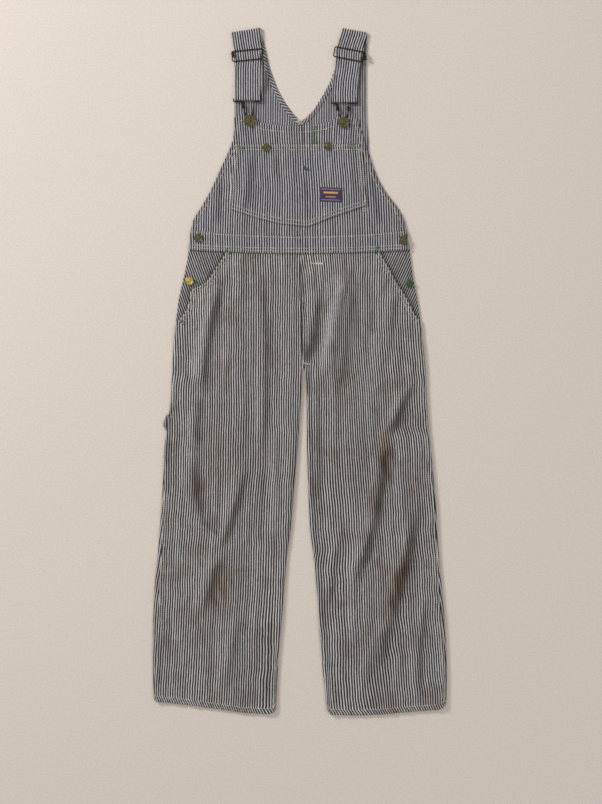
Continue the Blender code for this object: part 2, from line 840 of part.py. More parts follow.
def strap_stations(strap):
    back_level = WALL / 2
    fold_radius = (STRAP_LEVEL - back_level) / 2
    wrap_radius = LOOP_LEVEL - RETURN_LEVEL
    levels = [STRAP_LEVEL] * 2 + [STRAP_LEVEL, STRAP_OVER_BAR] + [STRAP_LEVEL] * 3
    levels += [mix(STRAP_LEVEL, LOOP_LEVEL + wrap_radius, 0.6), LOOP_LEVEL + wrap_radius]
    stations = [(Vector(e[:2]), Vector(e[2:]), back_level) for e in strap["back"]]
    middle = (back_level + STRAP_LEVEL) / 2
    stations += arc_stations(strap["fold"], middle, fold_radius, STRAP_TURN_STEPS, True)
    stations += [
        (Vector(e[:2]), Vector(e[2:]), level) for e, level in zip(strap["front"], levels)
    ]
    stations += arc_stations(strap["wrap"], LOOP_LEVEL, wrap_radius, STRAP_TURN_STEPS, False)
    end = strap["return_to"]
    stations.append((Vector(end[:2]), Vector(end[2:]), RETURN_LEVEL))
    return stations


def make_strap(side):
    stations = strap_stations(STRAPS[side])
    points, faces = [], []
    lines = [[Vector((*s[i], s[2])) for s in stations] for i in (0, 1)]
    for i in range(len(stations)):
        before, after = max(i - 1, 0), min(i + 1, len(stations) - 1)
        across = (lines[1][i] - lines[0][i]).normalized()
        for line in lines:
            along = (line[after] - line[before]).normalized()
            outward = across.cross(along).normalized() * STRAP_WALL / 2
            points += [line[i] + outward, line[i] - outward]
    for i in range(len(stations) - 1):
        a, b = 4 * i, 4 * (i + 1)
        for j, k in ((0, 1), (1, 3), (3, 2), (2, 0)):
            faces.append((a + j, a + k, b + k, b + j))
    last = 4 * (len(stations) - 1)
    faces += [(0, 1, 3, 2), (last, last + 2, last + 3, last + 1)]
    return finish(f"{side}_strap", mesh_from(f"{side}_strap", points, faces), "cloth")


# Wire and buttons


def rounded(points, radius, closed=False, steps=3):
    """A path through the points with each corner turned as an arc."""
    path = []
    count = len(points)
    for i, corner in enumerate(points):
        corner = Vector(corner)
        if not closed and i in (0, count - 1):
            path.append(corner)
            continue
        before, after = Vector(points[i - 1]), Vector(points[(i + 1) % count])
        cut = min(radius, (before - corner).length * 0.45, (after - corner).length * 0.45)
        start = corner + (before - corner).normalized() * cut
        end = corner + (after - corner).normalized() * cut
        for k in range(steps + 1):
            t = k / steps
            path.append(start * (1 - t) ** 2 + corner * 2 * t * (1 - t) + end * t**2)
    return path


def wire(name, path, closed=False):
    curve = bpy.data.curves.new(name, "CURVE")
    curve.dimensions = "3D"
    curve.bevel_depth = WIRE * MM
    curve.bevel_resolution = 1
    curve.use_fill_caps = True
    spline = curve.splines.new("POLY")
    spline.points.add(len(path) - 1)
    for point, place in zip(spline.points, path):
        point.co = (*(Vector(place) * MM), 1)
    spline.use_cyclic_u = closed
    return finish(name, curve, "wire", smooth=False)


def make_slider(side):
    """One bent wire: a hidden bar under the strap and a bar above it at each end."""
    slider = SLIDERS[side]
    wide, high = slider["half"]
    turn = math.radians(slider["turn"])
    bar, low = SLIDER_BAR_LEVEL, SLIDER_MIDDLE_LEVEL
    local = (
        (-wide + SLIDER_ENDS, 0, low),
        (wide, 0, low),
        (wide, high, bar),
        (-wide, high, bar),
        (-wide - SLIDER_LOBE, high / 2, bar),
        (-wide, 0, bar),
        (-wide - SLIDER_LOBE, -high / 2, bar),
        (-wide, -high, bar),
        (wide, -high, bar),
        (wide, -SLIDER_ENDS, bar),
    )
    path = []
    for u, v, z in local:
        x = slider["centre"][0] + u * math.cos(turn) - v * math.sin(turn)
        y = slider["centre"][1] + u * math.sin(turn) + v * math.cos(turn)
        path.append((x, y, z))
    wire(f"{side}_slider", rounded(path, WIRE_BEND))


def make_strap_loop(side):
    """A bar in the fold of the strap, and a keyhole that hangs on the button's post."""
    left, strap_y, right, _ = STRAPS[side]["wrap"]
    x, y = STRAP_BUTTONS[side]
    neck_left, neck_right = LOOP_NECKS[side]
    ring = STRAP_BUTTON * POST_SHARE + LOOP_POST_CLEAR + WIRE
    bar_y = strap_y + LOOP_LEVEL - RETURN_LEVEL + STRAP_WALL / 2
    low_y = bar_y - LOOP_BAR_DROP
    outline = [
        (left - LOOP_SIDE_CLEAR, bar_y),
        (left - LOOP_SIDE_CLEAR, low_y),
        (x + neck_left, low_y),
        (x + neck_left * LOOP_NECK_TAPER, low_y - LOOP_NECK_DROP),
    ]
    for k in range(LOOP_RING_STEPS + 1):
        angle = math.radians(LOOP_RING_START + LOOP_RING_TURN * k / LOOP_RING_STEPS)
        outline.append((x + ring * math.cos(angle), y + ring * math.sin(angle)))
    outline += [
        (x + neck_right * LOOP_NECK_TAPER, low_y - LOOP_NECK_DROP),
        (x + neck_right, low_y),
        (right + LOOP_SIDE_CLEAR, low_y),
        (right + LOOP_SIDE_CLEAR, bar_y),
    ]
    path = rounded([(px, py, LOOP_LEVEL) for px, py in outline], WIRE_BEND, closed=True)
    wire(f"{side}_strap_loop", path, closed=True)


def make_button(name, centre, size, base, stem, segments=16):
    """A tack button turned from a profile: a short post, a rolled rim and a dished face."""
    half = size / 2
    profile = [(2 * POST_SHARE, base)]
    profile += [(share, base + stem + level) for share, level in BUTTON_PROFILE]
    points, faces = [], []
    for share, z in profile:
        for k in range(segments):
            angle = 2 * math.pi * k / segments
            x = centre[0] + half * share * math.cos(angle)
            y = centre[1] + half * share * math.sin(angle)
            points.append((x, y, z))
    for i in range(len(profile) - 1):
        for k in range(segments):
            n = (k + 1) % segments
            a, b = i * segments, (i + 1) * segments
            faces.append((a + k, a + n, b + n, b + k))
    top = (len(profile) - 1) * segments
    faces += [tuple(range(segments - 1, -1, -1)), tuple(range(top, top + segments))]
    return finish(name, mesh_from(name, points, faces), "brass")


def make_buttons():
    on_front = FRONT_TOP + SEAM_GAP
    stem = LOOP_LEVEL + WIRE + SEAM_GAP - on_front
    for side, centre in STRAP_BUTTONS.items():
        make_button(f"{side}_strap_button", centre, STRAP_BUTTON, on_front, stem, 20)
    for name, x, y, size, post, under in SMALL_BUTTONS:
        make_button(name, (x, y), size, BUTTON_SEATS[under] + SEAM_GAP, post)


def main():
    for obj in list(bpy.data.objects):
        bpy.data.objects.remove(obj, do_unlink=True)
    make_legs()
    make_facings()
    make_vest_back()
    make_neck_binding()
    make_bib()
    make_bib_pocket()
    make_waistband()
    make_label()
    make_tool_loop()
    for side in ("left", "right"):
        make_strap(side)
        make_slider(side)
        make_strap_loop(side)
    make_buttons()


main()
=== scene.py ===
"""Bib overalls in striped work cloth, laid flat: the fine cloth, the sewing and the finishes.

Sizes are in millimetres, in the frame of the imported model, and MM takes them to metres: +Y runs
from the hems to the shoulders, +Z away from the floor, and -X is the left as it is looked at.
"""

import math

import bpy
import numpy as np
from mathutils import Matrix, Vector
from mathutils.bvhtree import BVHTree


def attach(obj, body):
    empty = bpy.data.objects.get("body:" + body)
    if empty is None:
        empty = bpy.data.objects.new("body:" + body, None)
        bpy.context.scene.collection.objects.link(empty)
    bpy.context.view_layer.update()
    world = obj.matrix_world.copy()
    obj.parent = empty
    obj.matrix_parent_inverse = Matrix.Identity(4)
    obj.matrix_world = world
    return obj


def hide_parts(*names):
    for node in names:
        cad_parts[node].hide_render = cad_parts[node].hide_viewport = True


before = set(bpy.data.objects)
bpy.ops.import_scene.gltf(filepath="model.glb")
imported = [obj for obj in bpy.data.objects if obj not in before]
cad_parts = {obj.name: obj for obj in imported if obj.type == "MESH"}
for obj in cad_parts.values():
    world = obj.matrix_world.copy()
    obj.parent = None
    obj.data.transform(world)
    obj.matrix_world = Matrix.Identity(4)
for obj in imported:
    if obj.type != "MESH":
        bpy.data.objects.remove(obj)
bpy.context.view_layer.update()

MM = 0.001
BODY = "root"

# Cloth walls, and the levels of the layers above the floor
WALL = 1.6
STRAP_WALL = 1.4
FACING_WALL = 1.2
SEAM_GAP = 0.3
HALF_GAP = SEAM_GAP / 2
BACK_TOP = WALL
FRONT_UNDER = BACK_TOP + SEAM_GAP
FRONT_TOP = FRONT_UNDER + WALL
OVERLAY_UNDER = FRONT_TOP + SEAM_GAP
OVERLAY_TOP = OVERLAY_UNDER + WALL
FACING_TOP = FRONT_UNDER + FACING_WALL
POCKET_LIFT = FACING_TOP + SEAM_GAP - FRONT_UNDER

# Rolled edges of the legs
ROLL_WIDE = 5.0
ROLL_ARC = 6.6
ROLL_MIDDLE = 3.1
ROLL_TOP = 6.2
ROLL_UNEVEN = 0.5
ROLL_WAVE = 47.0
ROLL_SETTLE = 22.0
ROLL_BLEND = 38.0
LEG_PUFF = 0.7
PUFF_BLEND = 60.0
FOLD_BLEND = 30.0
FOLD_START = 4.0

# The step of each leg front over its pocket facing
LIFT_REACH = 3.0
LIFT_SLOPE = 22.0
LIFT_START = 1.0
LIFT_TOP_BLEND = 14.0
LIFT_END = 34.0
LIFT_END_BLEND = 30.0

# Heights along the body
SHOULDER = 653.0
BAND_TOP = 282.0
BAND_TOP_SAG = 10.5
BAND_BOTTOM = 243.0
BAND_BOTTOM_SAG = 7.0
BAND_HALF = 215.0
BIB_BOTTOM = 261.0
LEG_TOP = 257.0
LEG_SHOWS = 240.5
VENT_END = 97.0
CROTCH = 12.0
HEM = -675.0
HEM_DEPTH = 12.0
HEM_STEP = 0.6
HEM_SLANT_START = -480.0
HEM_SLANT_BLEND = 150.0
POCKET_TOP = 455.0

# How coarse the fine cloth is
FINE = 3.4
BACK_FINE = 7.0
ROLL_STEPS = 8

# The stripe of the cloth
STRIPE_PITCH = 4.85

LEG_EDGES = {
    "columns": ("y", "left_outer", "left_inner", "right_inner", "right_outer"),
    "rows": (
        (LEG_TOP, -220.5, 1, 1, 218),
        (240, -222.3, 1, 1, 220),
        (197, -230, 1.6, 1.6, 225),
        (150, -241, 2.4, 2.4, 234),
        (VENT_END, -248, 3.2, 3.2, 241.5),
        (50, -253, 4.4, 4.4, 247),
        (25, -254.6, 5.8, 5.8, 249.5),
        (CROTCH, -255.2, 7.6, 7.6, 250.5),
        (0, -255.8, 4.8, 11.0, 251.4),
        (-20, -256.4, 4.3, 12.4, 252.3),
        (-60, -257.8, 2.2, 13.7, 254),
        (-115, -266.4, -1.6, 14.2, 258),
        (-155, -270.6, -4.4, 14.6, 262),
        (-255, -275.4, -13.2, 17.8, 271.4),
        (-315, -280, -18.4, 20.4, 275),
        (-366, -284, -25.2, 27.2, 278),
        (-425, -289.8, -30.4, 33.2, 283.4),
        (-495, -293.2, -35.8, 37.9, 289.2),
        (-570, -293.8, -42.4, 43.2, 292.8),
        (-640, -293.6, -45.6, 50.6, 293.6),
        (HEM, -292.4, -47.4, 54.0, 292.4),
    ),
}

HEM_LINE = {
    "columns": ("x", "y"),
    "rows": (
        (-294, -652),
        (-287, -659),
        (-228, -665.5),
        (-159, -674.5),
        (-113, -681.5),
        (-62, -684),
        (-52, -681),
        (-46, -670),
        (54, -676),
        (62, -685.5),
        (118, -687),
        (164, -685),
        (210, -680.5),
        (276, -675.5),
        (286, -672),
        (293, -662),
    ),
}

OUTSEAM_WRAP = {
    "columns": ("y", "left", "right"),
    "rows": (
        (VENT_END, 0, 0),
        (-100, 0, 0),
        (-250, 5, 4),
        (-400, 10, 6),
        (-480, 13, 8),
        (-560, 9, 5),
        (-640, 4, 2),
        (HEM, 3, 2),
    ),
}

BIB_EDGES = {
    "columns": ("y", "left", "right"),
    "rows": (
        (516, -131, 116),
        (492, -131.6, 119.6),
        (470, -132.4, 126.5),
        (452, -137.5, 131.5),
        (428, -148, 139.5),
        (395, -163, 151.5),
        (362, -178, 169),
        (328, -197.5, 195),
        (304, -212, 207.4),
        (270, -219.6, 215.8),
        (240, -222.3, 220),
    ),
}

BIB_TOP = {
    "columns": ("x", "y"),
    "rows": (
        (-131, 508),
        (-114, 515),
        (-98, 515),
        (-86, 501),
        (-40, 492.5),
        (8, 491.5),
        (60, 500),
        (76, 511),
        (96, 512),
        (116, 505),
    ),
}

VEST_EDGES = {
    "columns": ("y", "left", "right"),
    "rows": (
        (653, -133, 135),
        (590, -130.4, 133),
        (524, -130.2, 133.2),
        (470, -131.4, 136.6),
        (428, -147, 140.6),
        (395, -162, 152.5),
        (362, -177, 169.6),
        (328, -196.5, 195),
        (304, -211, 207.4),
        (270, -218.6, 215.4),
        (LEG_TOP + SEAM_GAP, -219.9, 217.7),
    ),
}

NECK_EDGE = {
    "columns": ("x", "y"),
    "rows": (
        (-70.4, 653),
        (-66.6, 636),
        (-60.4, 607),
        (-45, 566),
        (-31, 540.5),
        (-12.6, 515),
        (2, 501),
        (13, 508),
        (28.4, 524.5),
        (47, 554.5),
        (60.8, 580),
        (70, 606),
        (76.4, 633),
        (79.4, 653),
    ),
}
BINDING_WIDE = 9.0
BINDING_PUFF = 0.9
MOST_MITRE = 0.6

POCKET_EDGE = {
    "columns": ("y", "left", "right"),
    "rows": (
        (LEG_TOP, -146.6, 158.4),
        (240, -148, 160),
        (221, -158.6, 170),
        (207, -168, 178.6),
        (192, -177.6, 186.4),
        (182, -185, 191.6),
        (175, -194.5, 196),
        (170, -204, 199.4),
        (165, -216, 203),
        (150, -219.6, 211.5),
        (135, -222.4, 219.6),
        (115, -231.6, 230),
        (VENT_END, -247.6, 241.2),
    ),
}

FACING_EDGE = {
    "columns": ("y", "left", "right"),
    "rows": (
        (LEG_TOP, -147, 158.8),
        (240, -148.4, 160.4),
        (221, -159.2, 170.6),
        (207, -155, 166),
        (175, -152, 164),
        (150, -166, 178),
        (115, -196, 206),
        (VENT_END, -226, 224),
    ),
}

POCKET_SIDES = {
    "columns": ("y", "left", "right"),
    "rows": (
        (POCKET_TOP, -127.6, 121),
        (430, -135, 126.4),
        (380, -138.4, 130),
        (320, -138.6, 137),
    ),
}
POCKET_LOW_EDGE = {
    "columns": ("x", "y"),
    "rows": (
        (-138.6, 324.5),
        (-80.4, 305),
        (-40.6, 295.5),
        (14.4, 289.5),
        (28, 294.5),
        (66.4, 309.5),
        (137, 333.5),
    ),
}

# Folds: the crest at its start, middle and end, its rise, and the width of its gentle side
# (towards -X) and of its steep side (towards +X). A negative rise is a trough.
FOLD_COLUMNS = ("x0", "y0", "x1", "y1", "x2", "y2", "rise", "gentle", "steep")

# The largest folds of the legs, the ones that the solids have too
LEG_FOLDS = (
    (-154, 205, -184, 88, -201, -62, 3.0, 32, 15),
    (-201, -40, -212, -200, -198, -312, 2.5, 26, 15),
    (-84, 228, -72, -20, -84, -190, 1.9, 20, 15),
    (-112, -180, -140, -292, -170, -372, 2.5, 24, 15),
    (-156, -350, -184, -424, -204, -500, 2.1, 26, 17),
    (-54, -96, -50, -240, -56, -380, 1.7, 16, 16),
    (-124, -480, -140, -560, -156, -640, 1.5, 18, 16),
    (16, 238, 24, 120, 16, 24, 2.2, 14, 22),
    (96, 220, 70, 95, 56, -40, 2.8, 26, 20),
    (182, 160, 174, 85, 166, 0, 1.9, 20, 16),
    (224, -10, 196, -76, 170, -136, 2.4, 22, 15),
    (164, -136, 150, -262, 106, -430, 3.0, 28, 16),
    (236, -240, 196, -430, 130, -630, 2.8, 28, 16),
    (32, -30, 34, -140, 36, -270, 1.6, 14, 14),
    (74, -330, 66, -400, 54, -470, 1.7, 16, 14),
    (246, -440, 236, -560, 232, -650, 1.8, 18, 14),
    (104, -350, 102, -460, 104, -570, 1.4, 18, 18),
)
LEG_FOLD_GAIN = 2.3
CREASE_GAIN = 1.6

# Smaller creases of the legs
LEG_CREASES = (
    (-186, 176, -200, 132, -214, 96, 0.9, 9, 7),
    (-166, 160, -190, 110, -210, 70, -0.8, 8, 8),
    (-120, 236, -118, 190, -124, 130, 1.0, 10, 8),
    (-98, 236, -98, 200, -92, 150, 0.9, 8, 7),
    (-62, 236, -58, 150, -60, 40, 1.1, 12, 9),
    (-36, 234, -38, 190, -34, 120, 0.8, 9, 8),
    (-14, 236, -12, 150, -12, 60, 0.7, 8, 6),
    (-140, 60, -150, 0, -160, -90, 1.0, 13, 9),
    (-112, 20, -110, -80, -116, -170, 0.9, 12, 10),
    (-226, 20, -232, -60, -236, -150, 1.1, 14, 10),
    (-178, -120, -176, -190, -188, -250, -0.9, 10, 10),
    (-160, -196, -166, -250, -158, -306, 1.2, 12, 8),
    (-236, -196, -244, -280, -240, -360, 0.9, 14, 10),
    (-204, -300, -176, -318, -150, -322, 1.4, 12, 10),
    (-92, -240, -100, -310, -116, -366, 1.1, 12, 9),
    (-74, -380, -80, -450, -92, -540, 1.0, 13, 10),
    (-218, -420, -236, -500, -240, -570, 0.9, 14, 9),
    (-258, -470, -262, -520, -264, -566, 1.1, 8, 7),
    (-176, -520, -186, -580, -192, -650, 0.8, 12, 10),
    (-62, -500, -64, -580, -66, -650, 0.8, 8, 8),
    (-100, -560, -104, -610, -110, -655, 0.7, 10, 8),
    (44, 234, 42, 180, 30, 110, 1.0, 9, 8),
    (62, 236, 56, 190, 44, 130, -0.9, 8, 8),
    (84, 236, 84, 212, 78, 176, 0.8, 9, 7),
    (128, 236, 118, 160, 106, 40, 1.2, 16, 11),
    (148, 232, 142, 150, 136, 60, 0.9, 12, 9),
    (204, 120, 198, 40, 200, -40, 1.0, 12, 9),
    (226, 90, 224, 20, 228, -60, 0.9, 10, 8),
    (16, 60, 30, 10, 50, -60, 1.3, 12, 9),
    (8, 40, 20, 0, 30, -50, 0.9, 8, 7),
    (70, 30, 72, -60, 78, -160, 1.1, 14, 10),
    (120, 10, 124, -80, 118, -170, 1.0, 14, 11),
    (146, 0, 152, -70, 148, -130, 0.9, 12, 9),
    (190, -150, 182, -210, 178, -270, 1.0, 13, 9),
    (212, -110, 216, -180, 222, -250, 0.9, 12, 9),
    (250, -130, 250, -200, 254, -270, 0.8, 10, 8),
    (88, -290, 76, -340, 64, -380, 1.2, 12, 9),
    (150, -300, 130, -352, 112, -402, 1.0, 14, 9),
    (216, -280, 214, -340, 204, -400, 1.1, 12, 9),
    (180, -470, 166, -540, 150, -600, 1.0, 14, 10),
    (72, -480, 80, -560, 84, -640, 0.8, 12, 10),
    (258, -330, 264, -420, 266, -520, 0.9, 10, 8),
    (196, -560, 190, -610, 186, -660, 0.7, 12, 9),
    (128, -600, 124, -640, 122, -668, 0.6, 10, 8),
)

BIB_FOLDS = (
    (-166, 400, -168, 340, -170, 286, 1.4, 16, 12),
    (142, 410, 150, 345, 158, 286, 1.4, 16, 12),
)
BIB_CREASES = (
    (6, 494, 7, 478, 8, 452, -1.3, 5, 4),
    (14, 490, 15, 476, 15, 456, 0.8, 5, 5),
    (-84, 492, -80, 480, -70, 458, 1.0, 7, 6),
    (-112, 490, -108, 478, -104, 458, 0.9, 8, 6),
    (-50, 488, -48, 474, -50, 458, 0.7, 8, 6),
    (-22, 490, -22, 476, -24, 458, 0.6, 8, 7),
    (44, 494, 44, 478, 46, 458, 0.7, 7, 6),
    (72, 498, 70, 480, 64, 458, 1.0, 7, 6),
    (104, 498, 100, 482, 94, 458, 0.9, 8, 6),
    (-186, 340, -192, 310, -196, 284, 0.9, 9, 7),
    (-148, 340, -150, 312, -150, 284, 0.8, 9, 7),
    (176, 350, 182, 315, 186, 284, 0.9, 9, 7),
    (-96, 300, -92, 290, -90, 278, 0.7, 8, 6),
    (-30, 288, -28, 282, -26, 274, 0.6, 7, 6),
    (60, 300, 62, 290, 62, 278, 0.7, 8, 6),
    (112, 320, 116, 300, 118, 280, 0.8, 8, 7),
)
POCKET_FOLDS = (
    (-100, 448, -104, 380, -116, 312, 1.2, 18, 16),
    (-54, 444, -50, 400, -42, 350, 1.0, 16, 14),
    (4, 392, 6, 350, 10, 300, 1.1, 16, 14),
    (100, 440, 102, 390, 108, 330, 1.1, 16, 14),
)
POCKET_CREASES = (
    (-124, 440, -128, 400, -130, 350, 0.7, 7, 6),
    (-76, 440, -78, 400, -86, 340, 0.8, 8, 6),
    (-64, 380, -66, 350, -70, 312, 0.7, 8, 6),
    (-30, 440, -32, 420, -34, 396, 0.8, 7, 6),
    (-34, 400, -22, 376, -14, 350, 0.9, 7, 5),
    (-14, 436, -12, 400, -14, 366, 0.7, 7, 6),
    (14, 440, 12, 410, 16, 376, 0.9, 7, 5),
    (2, 436, -4, 420, 2, 404, -0.9, 6, 6),
    (24, 350, 20, 322, 18, 300, 0.8, 7, 5),
    (34, 440, 34, 410, 38, 380, 0.7, 7, 6),
    (66, 436, 62, 406, 60, 380, 0.9, 8, 6),
    (84, 436, 86, 410, 90, 384, 0.8, 7, 6),
    (54, 330, 52, 316, 50, 306, 0.6, 7, 6),
    (84, 336, 88, 326, 92, 318, 0.6, 7, 6),
    (-98, 340, -96, 326, -92, 314, 0.6, 7, 6),
)
BAND_FOLDS = (
    (-112, 290, -112, 260, -112, 230, 0.7, 16, 12),
    (-40, 290, -40, 260, -40, 230, 0.6, 20, 14),
    (70, 290, 70, 260, 70, 230, 0.7, 18, 12),
    (150, 290, 150, 260, 150, 230, 0.5, 18, 14),
)
VEST_CREASES = (
    (-112, 600, -116, 560, -114, 524, 0.3, 12, 10),
    (-48, 556, -42, 536, -34, 506, 0.4, 9, 7),
    (-64, 560, -60, 530, -56, 504, 0.35, 9, 7),
    (40, 536, 44, 524, 46, 504, 0.35, 8, 7),
    (62, 566, 60, 536, 58, 508, 0.4, 9, 7),
    (124, 620, 126, 570, 126, 520, 0.5, 7, 6),
)

# Where stripes run off the straight: how far they have shifted in x at each height
GRAIN = {
    "columns": ("y", "left", "right_inner", "right"),
    "rows": (
        (LEG_TOP, 0, 0, 0),
        (215, 0, 5, 0),
        (175, 0, 8, -1),
        (119, 0, 10, -1),
        (63, 0, 11, 0),
        (8, 0, 13, 4),
        (-48, 0, 14, 8),
        (-132, -1, 14, 14),
        (-244, -4, 17, 22),
        (-356, -9, 20, 28),
        (-468, -13, 24, 32),
        (-580, -17, 27, 36),
        (HEM, -22, 32, 40),
    ),
}
GRAIN_INNER = 30.0
GRAIN_MIDDLE = 130.0

# Lines where a fold hides some cloth, so that stripes on its two sides don't meet
TUCK_COLUMNS = ("x0", "y0", "x1", "y1", "x2", "y2", "takes", "wide")
TUCKS = (
    (-66, -230, -62, -450, -72, -700, 7, 34),
    (244, -250, 212, -420, 118, -700, 9, 60),
)
BIB_LEAN = {
    "columns": ("y", "left", "right"),
    "rows": (
        (520, -4.5, 6.5),
        (490, -2.5, 2.0),
        (455, 0.5, 0),
        (420, 2.5, 2),
        (370, 5, 5),
        (330, 3, 7),
        (290, 1, 9),
        (240, 1, 10),
    ),
}
BIB_LEAN_REACH = 110.0
FACING_LEANS = {"left": 0.36, "right": -0.46}

# Stains: place, half width, half height, turn in degrees, strength
STAIN_COLUMNS = ("x", "y", "wide", "high", "turn", "strength")
STAINS = (
    (-204, -236, 20, 46, 4, 0.9),
    (-172, -300, 36, 20, -20, 0.5),
    (-160, -430, 34, 74, -14, 0.75),
    (-196, -520, 30, 56, -10, 0.4),
    (-186, -20, 16, 60, -6, 0.3),
    (-92, 60, 60, 150, 0, 0.28),
    (-150, -160, 90, 130, 0, 0.34),
    (-68, -190, 16, 90, 0, 0.35),
    (-60, -60, 18, 90, 0, 0.2),
    (172, -176, 22, 62, 3, 1.0),
    (150, -262, 20, 54, 10, 0.75),
    (196, -430, 24, 92, -20, 1.0),
    (214, -380, 30, 40, -10, 0.5),
    (168, -540, 22, 60, -16, 0.5),
    (206, -90, 20, 34, -20, 0.6),
    (226, -260, 26, 80, -4, 0.45),
    (120, -180, 60, 110, 0, 0.34),
    (130, 60, 60, 110, 0, 0.2),
    (-164, 180, 14, 9, -30, 0.6),
    (-184, 172, 16, 7, -20, 0.5),
    (176, 180, 7, 22, -24, 0.6),
    (-118, -610, 50, 40, 0, 0.25),
    (12, 250, 9, 10, 0, 0.5),
)

# Painted shade along the fold valleys, the seams and the pocket mouths, and painted shadow beside the
# straps, with some grime: a line, its half width and strength
SHADE_COLUMNS = ("x0", "y0", "x1", "y1", "x2", "y2", "strength", "gentle", "steep")
SHADES = (
    (-146, 210, -176, 90, -190, -66, 0.55, 12, 16),
    (-196, -40, -202, -104, -196, -160, 0.6, 14, 14),
    (-202, -168, -206, -240, -190, -300, 0.7, 14, 14),
    (-188, -290, -172, -318, -152, -330, 0.6, 12, 14),
    (-108, -190, -126, -268, -160, -360, 0.55, 12, 16),
    (-148, -366, -172, -420, -192, -480, 0.5, 16, 18),
    (-76, 234, -66, 20, -68, -190, 0.45, 12, 12),
    (-78, -180, -76, -250, -80, -340, 0.45, 10, 10),
    (-120, -490, -134, -560, -146, -620, 0.3, 12, 12),
    (-264, -480, -268, -520, -266, -560, 0.5, 10, 8),
    (-60, -480, -62, -580, -68, -670, 0.5, 10, 10),
    (42, 160, 34, 100, 12, 10, 0.8, 18, 20),
    (116, 200, 96, 80, 80, -66, 0.7, 14, 18),
    (192, 150, 188, 110, 184, 70, 0.35, 10, 10),
    (38, 0, 34, -140, 36, -270, 0.5, 12, 12),
    (232, -20, 206, -70, 178, -130, 0.65, 14, 18),
    (172, -140, 164, -228, 154, -300, 0.75, 16, 20),
    (152, -286, 136, -350, 112, -430, 0.6, 14, 16),
    (246, -130, 248, -180, 250, -210, 0.4, 8, 8),
    (240, -260, 214, -360, 178, -500, 0.7, 14, 20),
    (180, -500, 150, -560, 128, -640, 0.45, 14, 18),
    (80, -330, 66, -400, 58, -470, 0.45, 12, 14),
    (254, -450, 242, -560, 240, -660, 0.5, 10, 14),
    (-94, 440, -99, 370, -110, 312, 0.45, 12, 14),
    (-50, 436, -46, 400, -40, 376, 0.35, 9, 9),
    (10, 400, 14, 350, 16, 300, 0.4, 8, 9),
    (6, 494, 7, 476, 8, 448, 0.9, 4, 4),
    (-160, 384, -162, 330, -166, 290, 0.45, 9, 10),
    (140, 404, 150, 345, 158, 290, 0.6, 8, 9),
    (-66, 646, -62, 600, -72, 548, 0.85, 12, 12),
    (124, 640, 122, 590, 118, 550, 0.8, 8, 8),
    (1.6, 237, 2.6, 120, 7, 6, 1.0, 3, 4),
    (12, 60, 16, 20, 12, -60, 0.8, 10, 12),
    (-250, -30, -262, -110, -268, -200, 0.5, 7, 12),
    (-6, -20, -12, -250, -44, -600, 0.35, 10, 8),
    (20, -20, 28, -250, 54, -600, 0.45, 8, 10),
    (-150, 238, -172, 206, -200, 168, 0.8, 5, 4),
    (162, 238, 180, 206, 204, 160, 0.8, 4, 5),
)

# Pale places along the ridges: partly cloth rubbed pale, partly painted highlight on the lit side of a
# ridge
RUBS_AND_HIGHLIGHTS = (
    (-170, 190, -196, 80, -214, -40, 0.4, 10, 8),
    (-52, -100, -50, -240, -54, -370, 0.5, 9, 9),
    (90, 214, 62, 100, 44, 10, 0.8, 14, 12),
    (102, -350, 102, -460, 104, -570, 0.45, 12, 12),
    (58, 436, 59, 410, 58, 376, 0.8, 6, 6),
    (150, 100, 140, 0, 130, -90, 0.35, 16, 14),
    (-100, 170, -98, 60, -96, -80, 0.3, 20, 18),
    (-176, -350, -190, -410, -210, -470, 0.3, 10, 9),
    (200, -130, 190, -220, 184, -280, 0.35, 10, 10),
    (20, 40, 30, -60, 50, -120, 0.5, 10, 9),
)

# How fine the grids across the legs are
FRONT_COLUMNS = 70
BACK_COLUMNS = 36
BACK_SEAM_STEPS = 8
FACING_COLUMNS = 22

BINDING_GRAIN = 38.0
BINDING_CUT = 10.0
TOOL_LOOP = {"heights": (-86, -96, -108, -117), "reach": (3.2, 7.2, 7.0, 1.8), "low": 1.2}
LABEL_SIZE = (45.0, 28.0)
LABEL_CENTRE = (61.8, 353.7)
LABEL_TURN = -2.0
LABEL_WALL = 1.0

# Straps: each station gives the left and the right edge of the ribbon
STRAPS = {
    "left": {
        "back": ((-133, 653.3, -70.4, 653.3), (-136, 668, -76, 674)),
        "fold": (-138, 677.5, -78, 687.1),
        "front": (
            (-137, 671, -77, 680),
            (-134, 650, -76, 656),
            (-131.8, 640, -76.4, 645),
            (-131.2, 631, -77, 636),
            (-129.6, 621, -77, 625),
            (-131, 605, -75.6, 607),
            (-131, 580, -75.4, 582),
            (-131, 556, -77, 556),
            (-130.8, 549, -78.4, 549),
        ),
        "wrap": (-130.6, 542.4, -78.6, 542.4),
        "return_to": (-129, 622, -78, 622),
    },
    "right": {
        "back": ((79.4, 653.3, 135, 653.3), (82, 672, 134.6, 667)),
        "fold": (85, 686.1, 134.4, 677.5),
        "front": (
            (84, 680, 133, 671),
            (75.8, 655, 128, 646),
            (73.2, 645, 126, 635),
            (72.4, 639, 124.6, 629),
            (72.4, 628, 123, 619),
            (70, 607, 118.6, 605),
            (66, 580, 116.6, 580),
            (64.4, 556, 114, 556),
            (64.6, 549, 113.6, 549),
        ),
        "wrap": (64.8, 538.6, 113.4, 538.6),
        "return_to": (72.6, 616, 118, 614),
    },
}
STRAP_TURN_STEPS = 14
STRAP_STRIPE_START = {"left": 1.4, "right": 2.6}

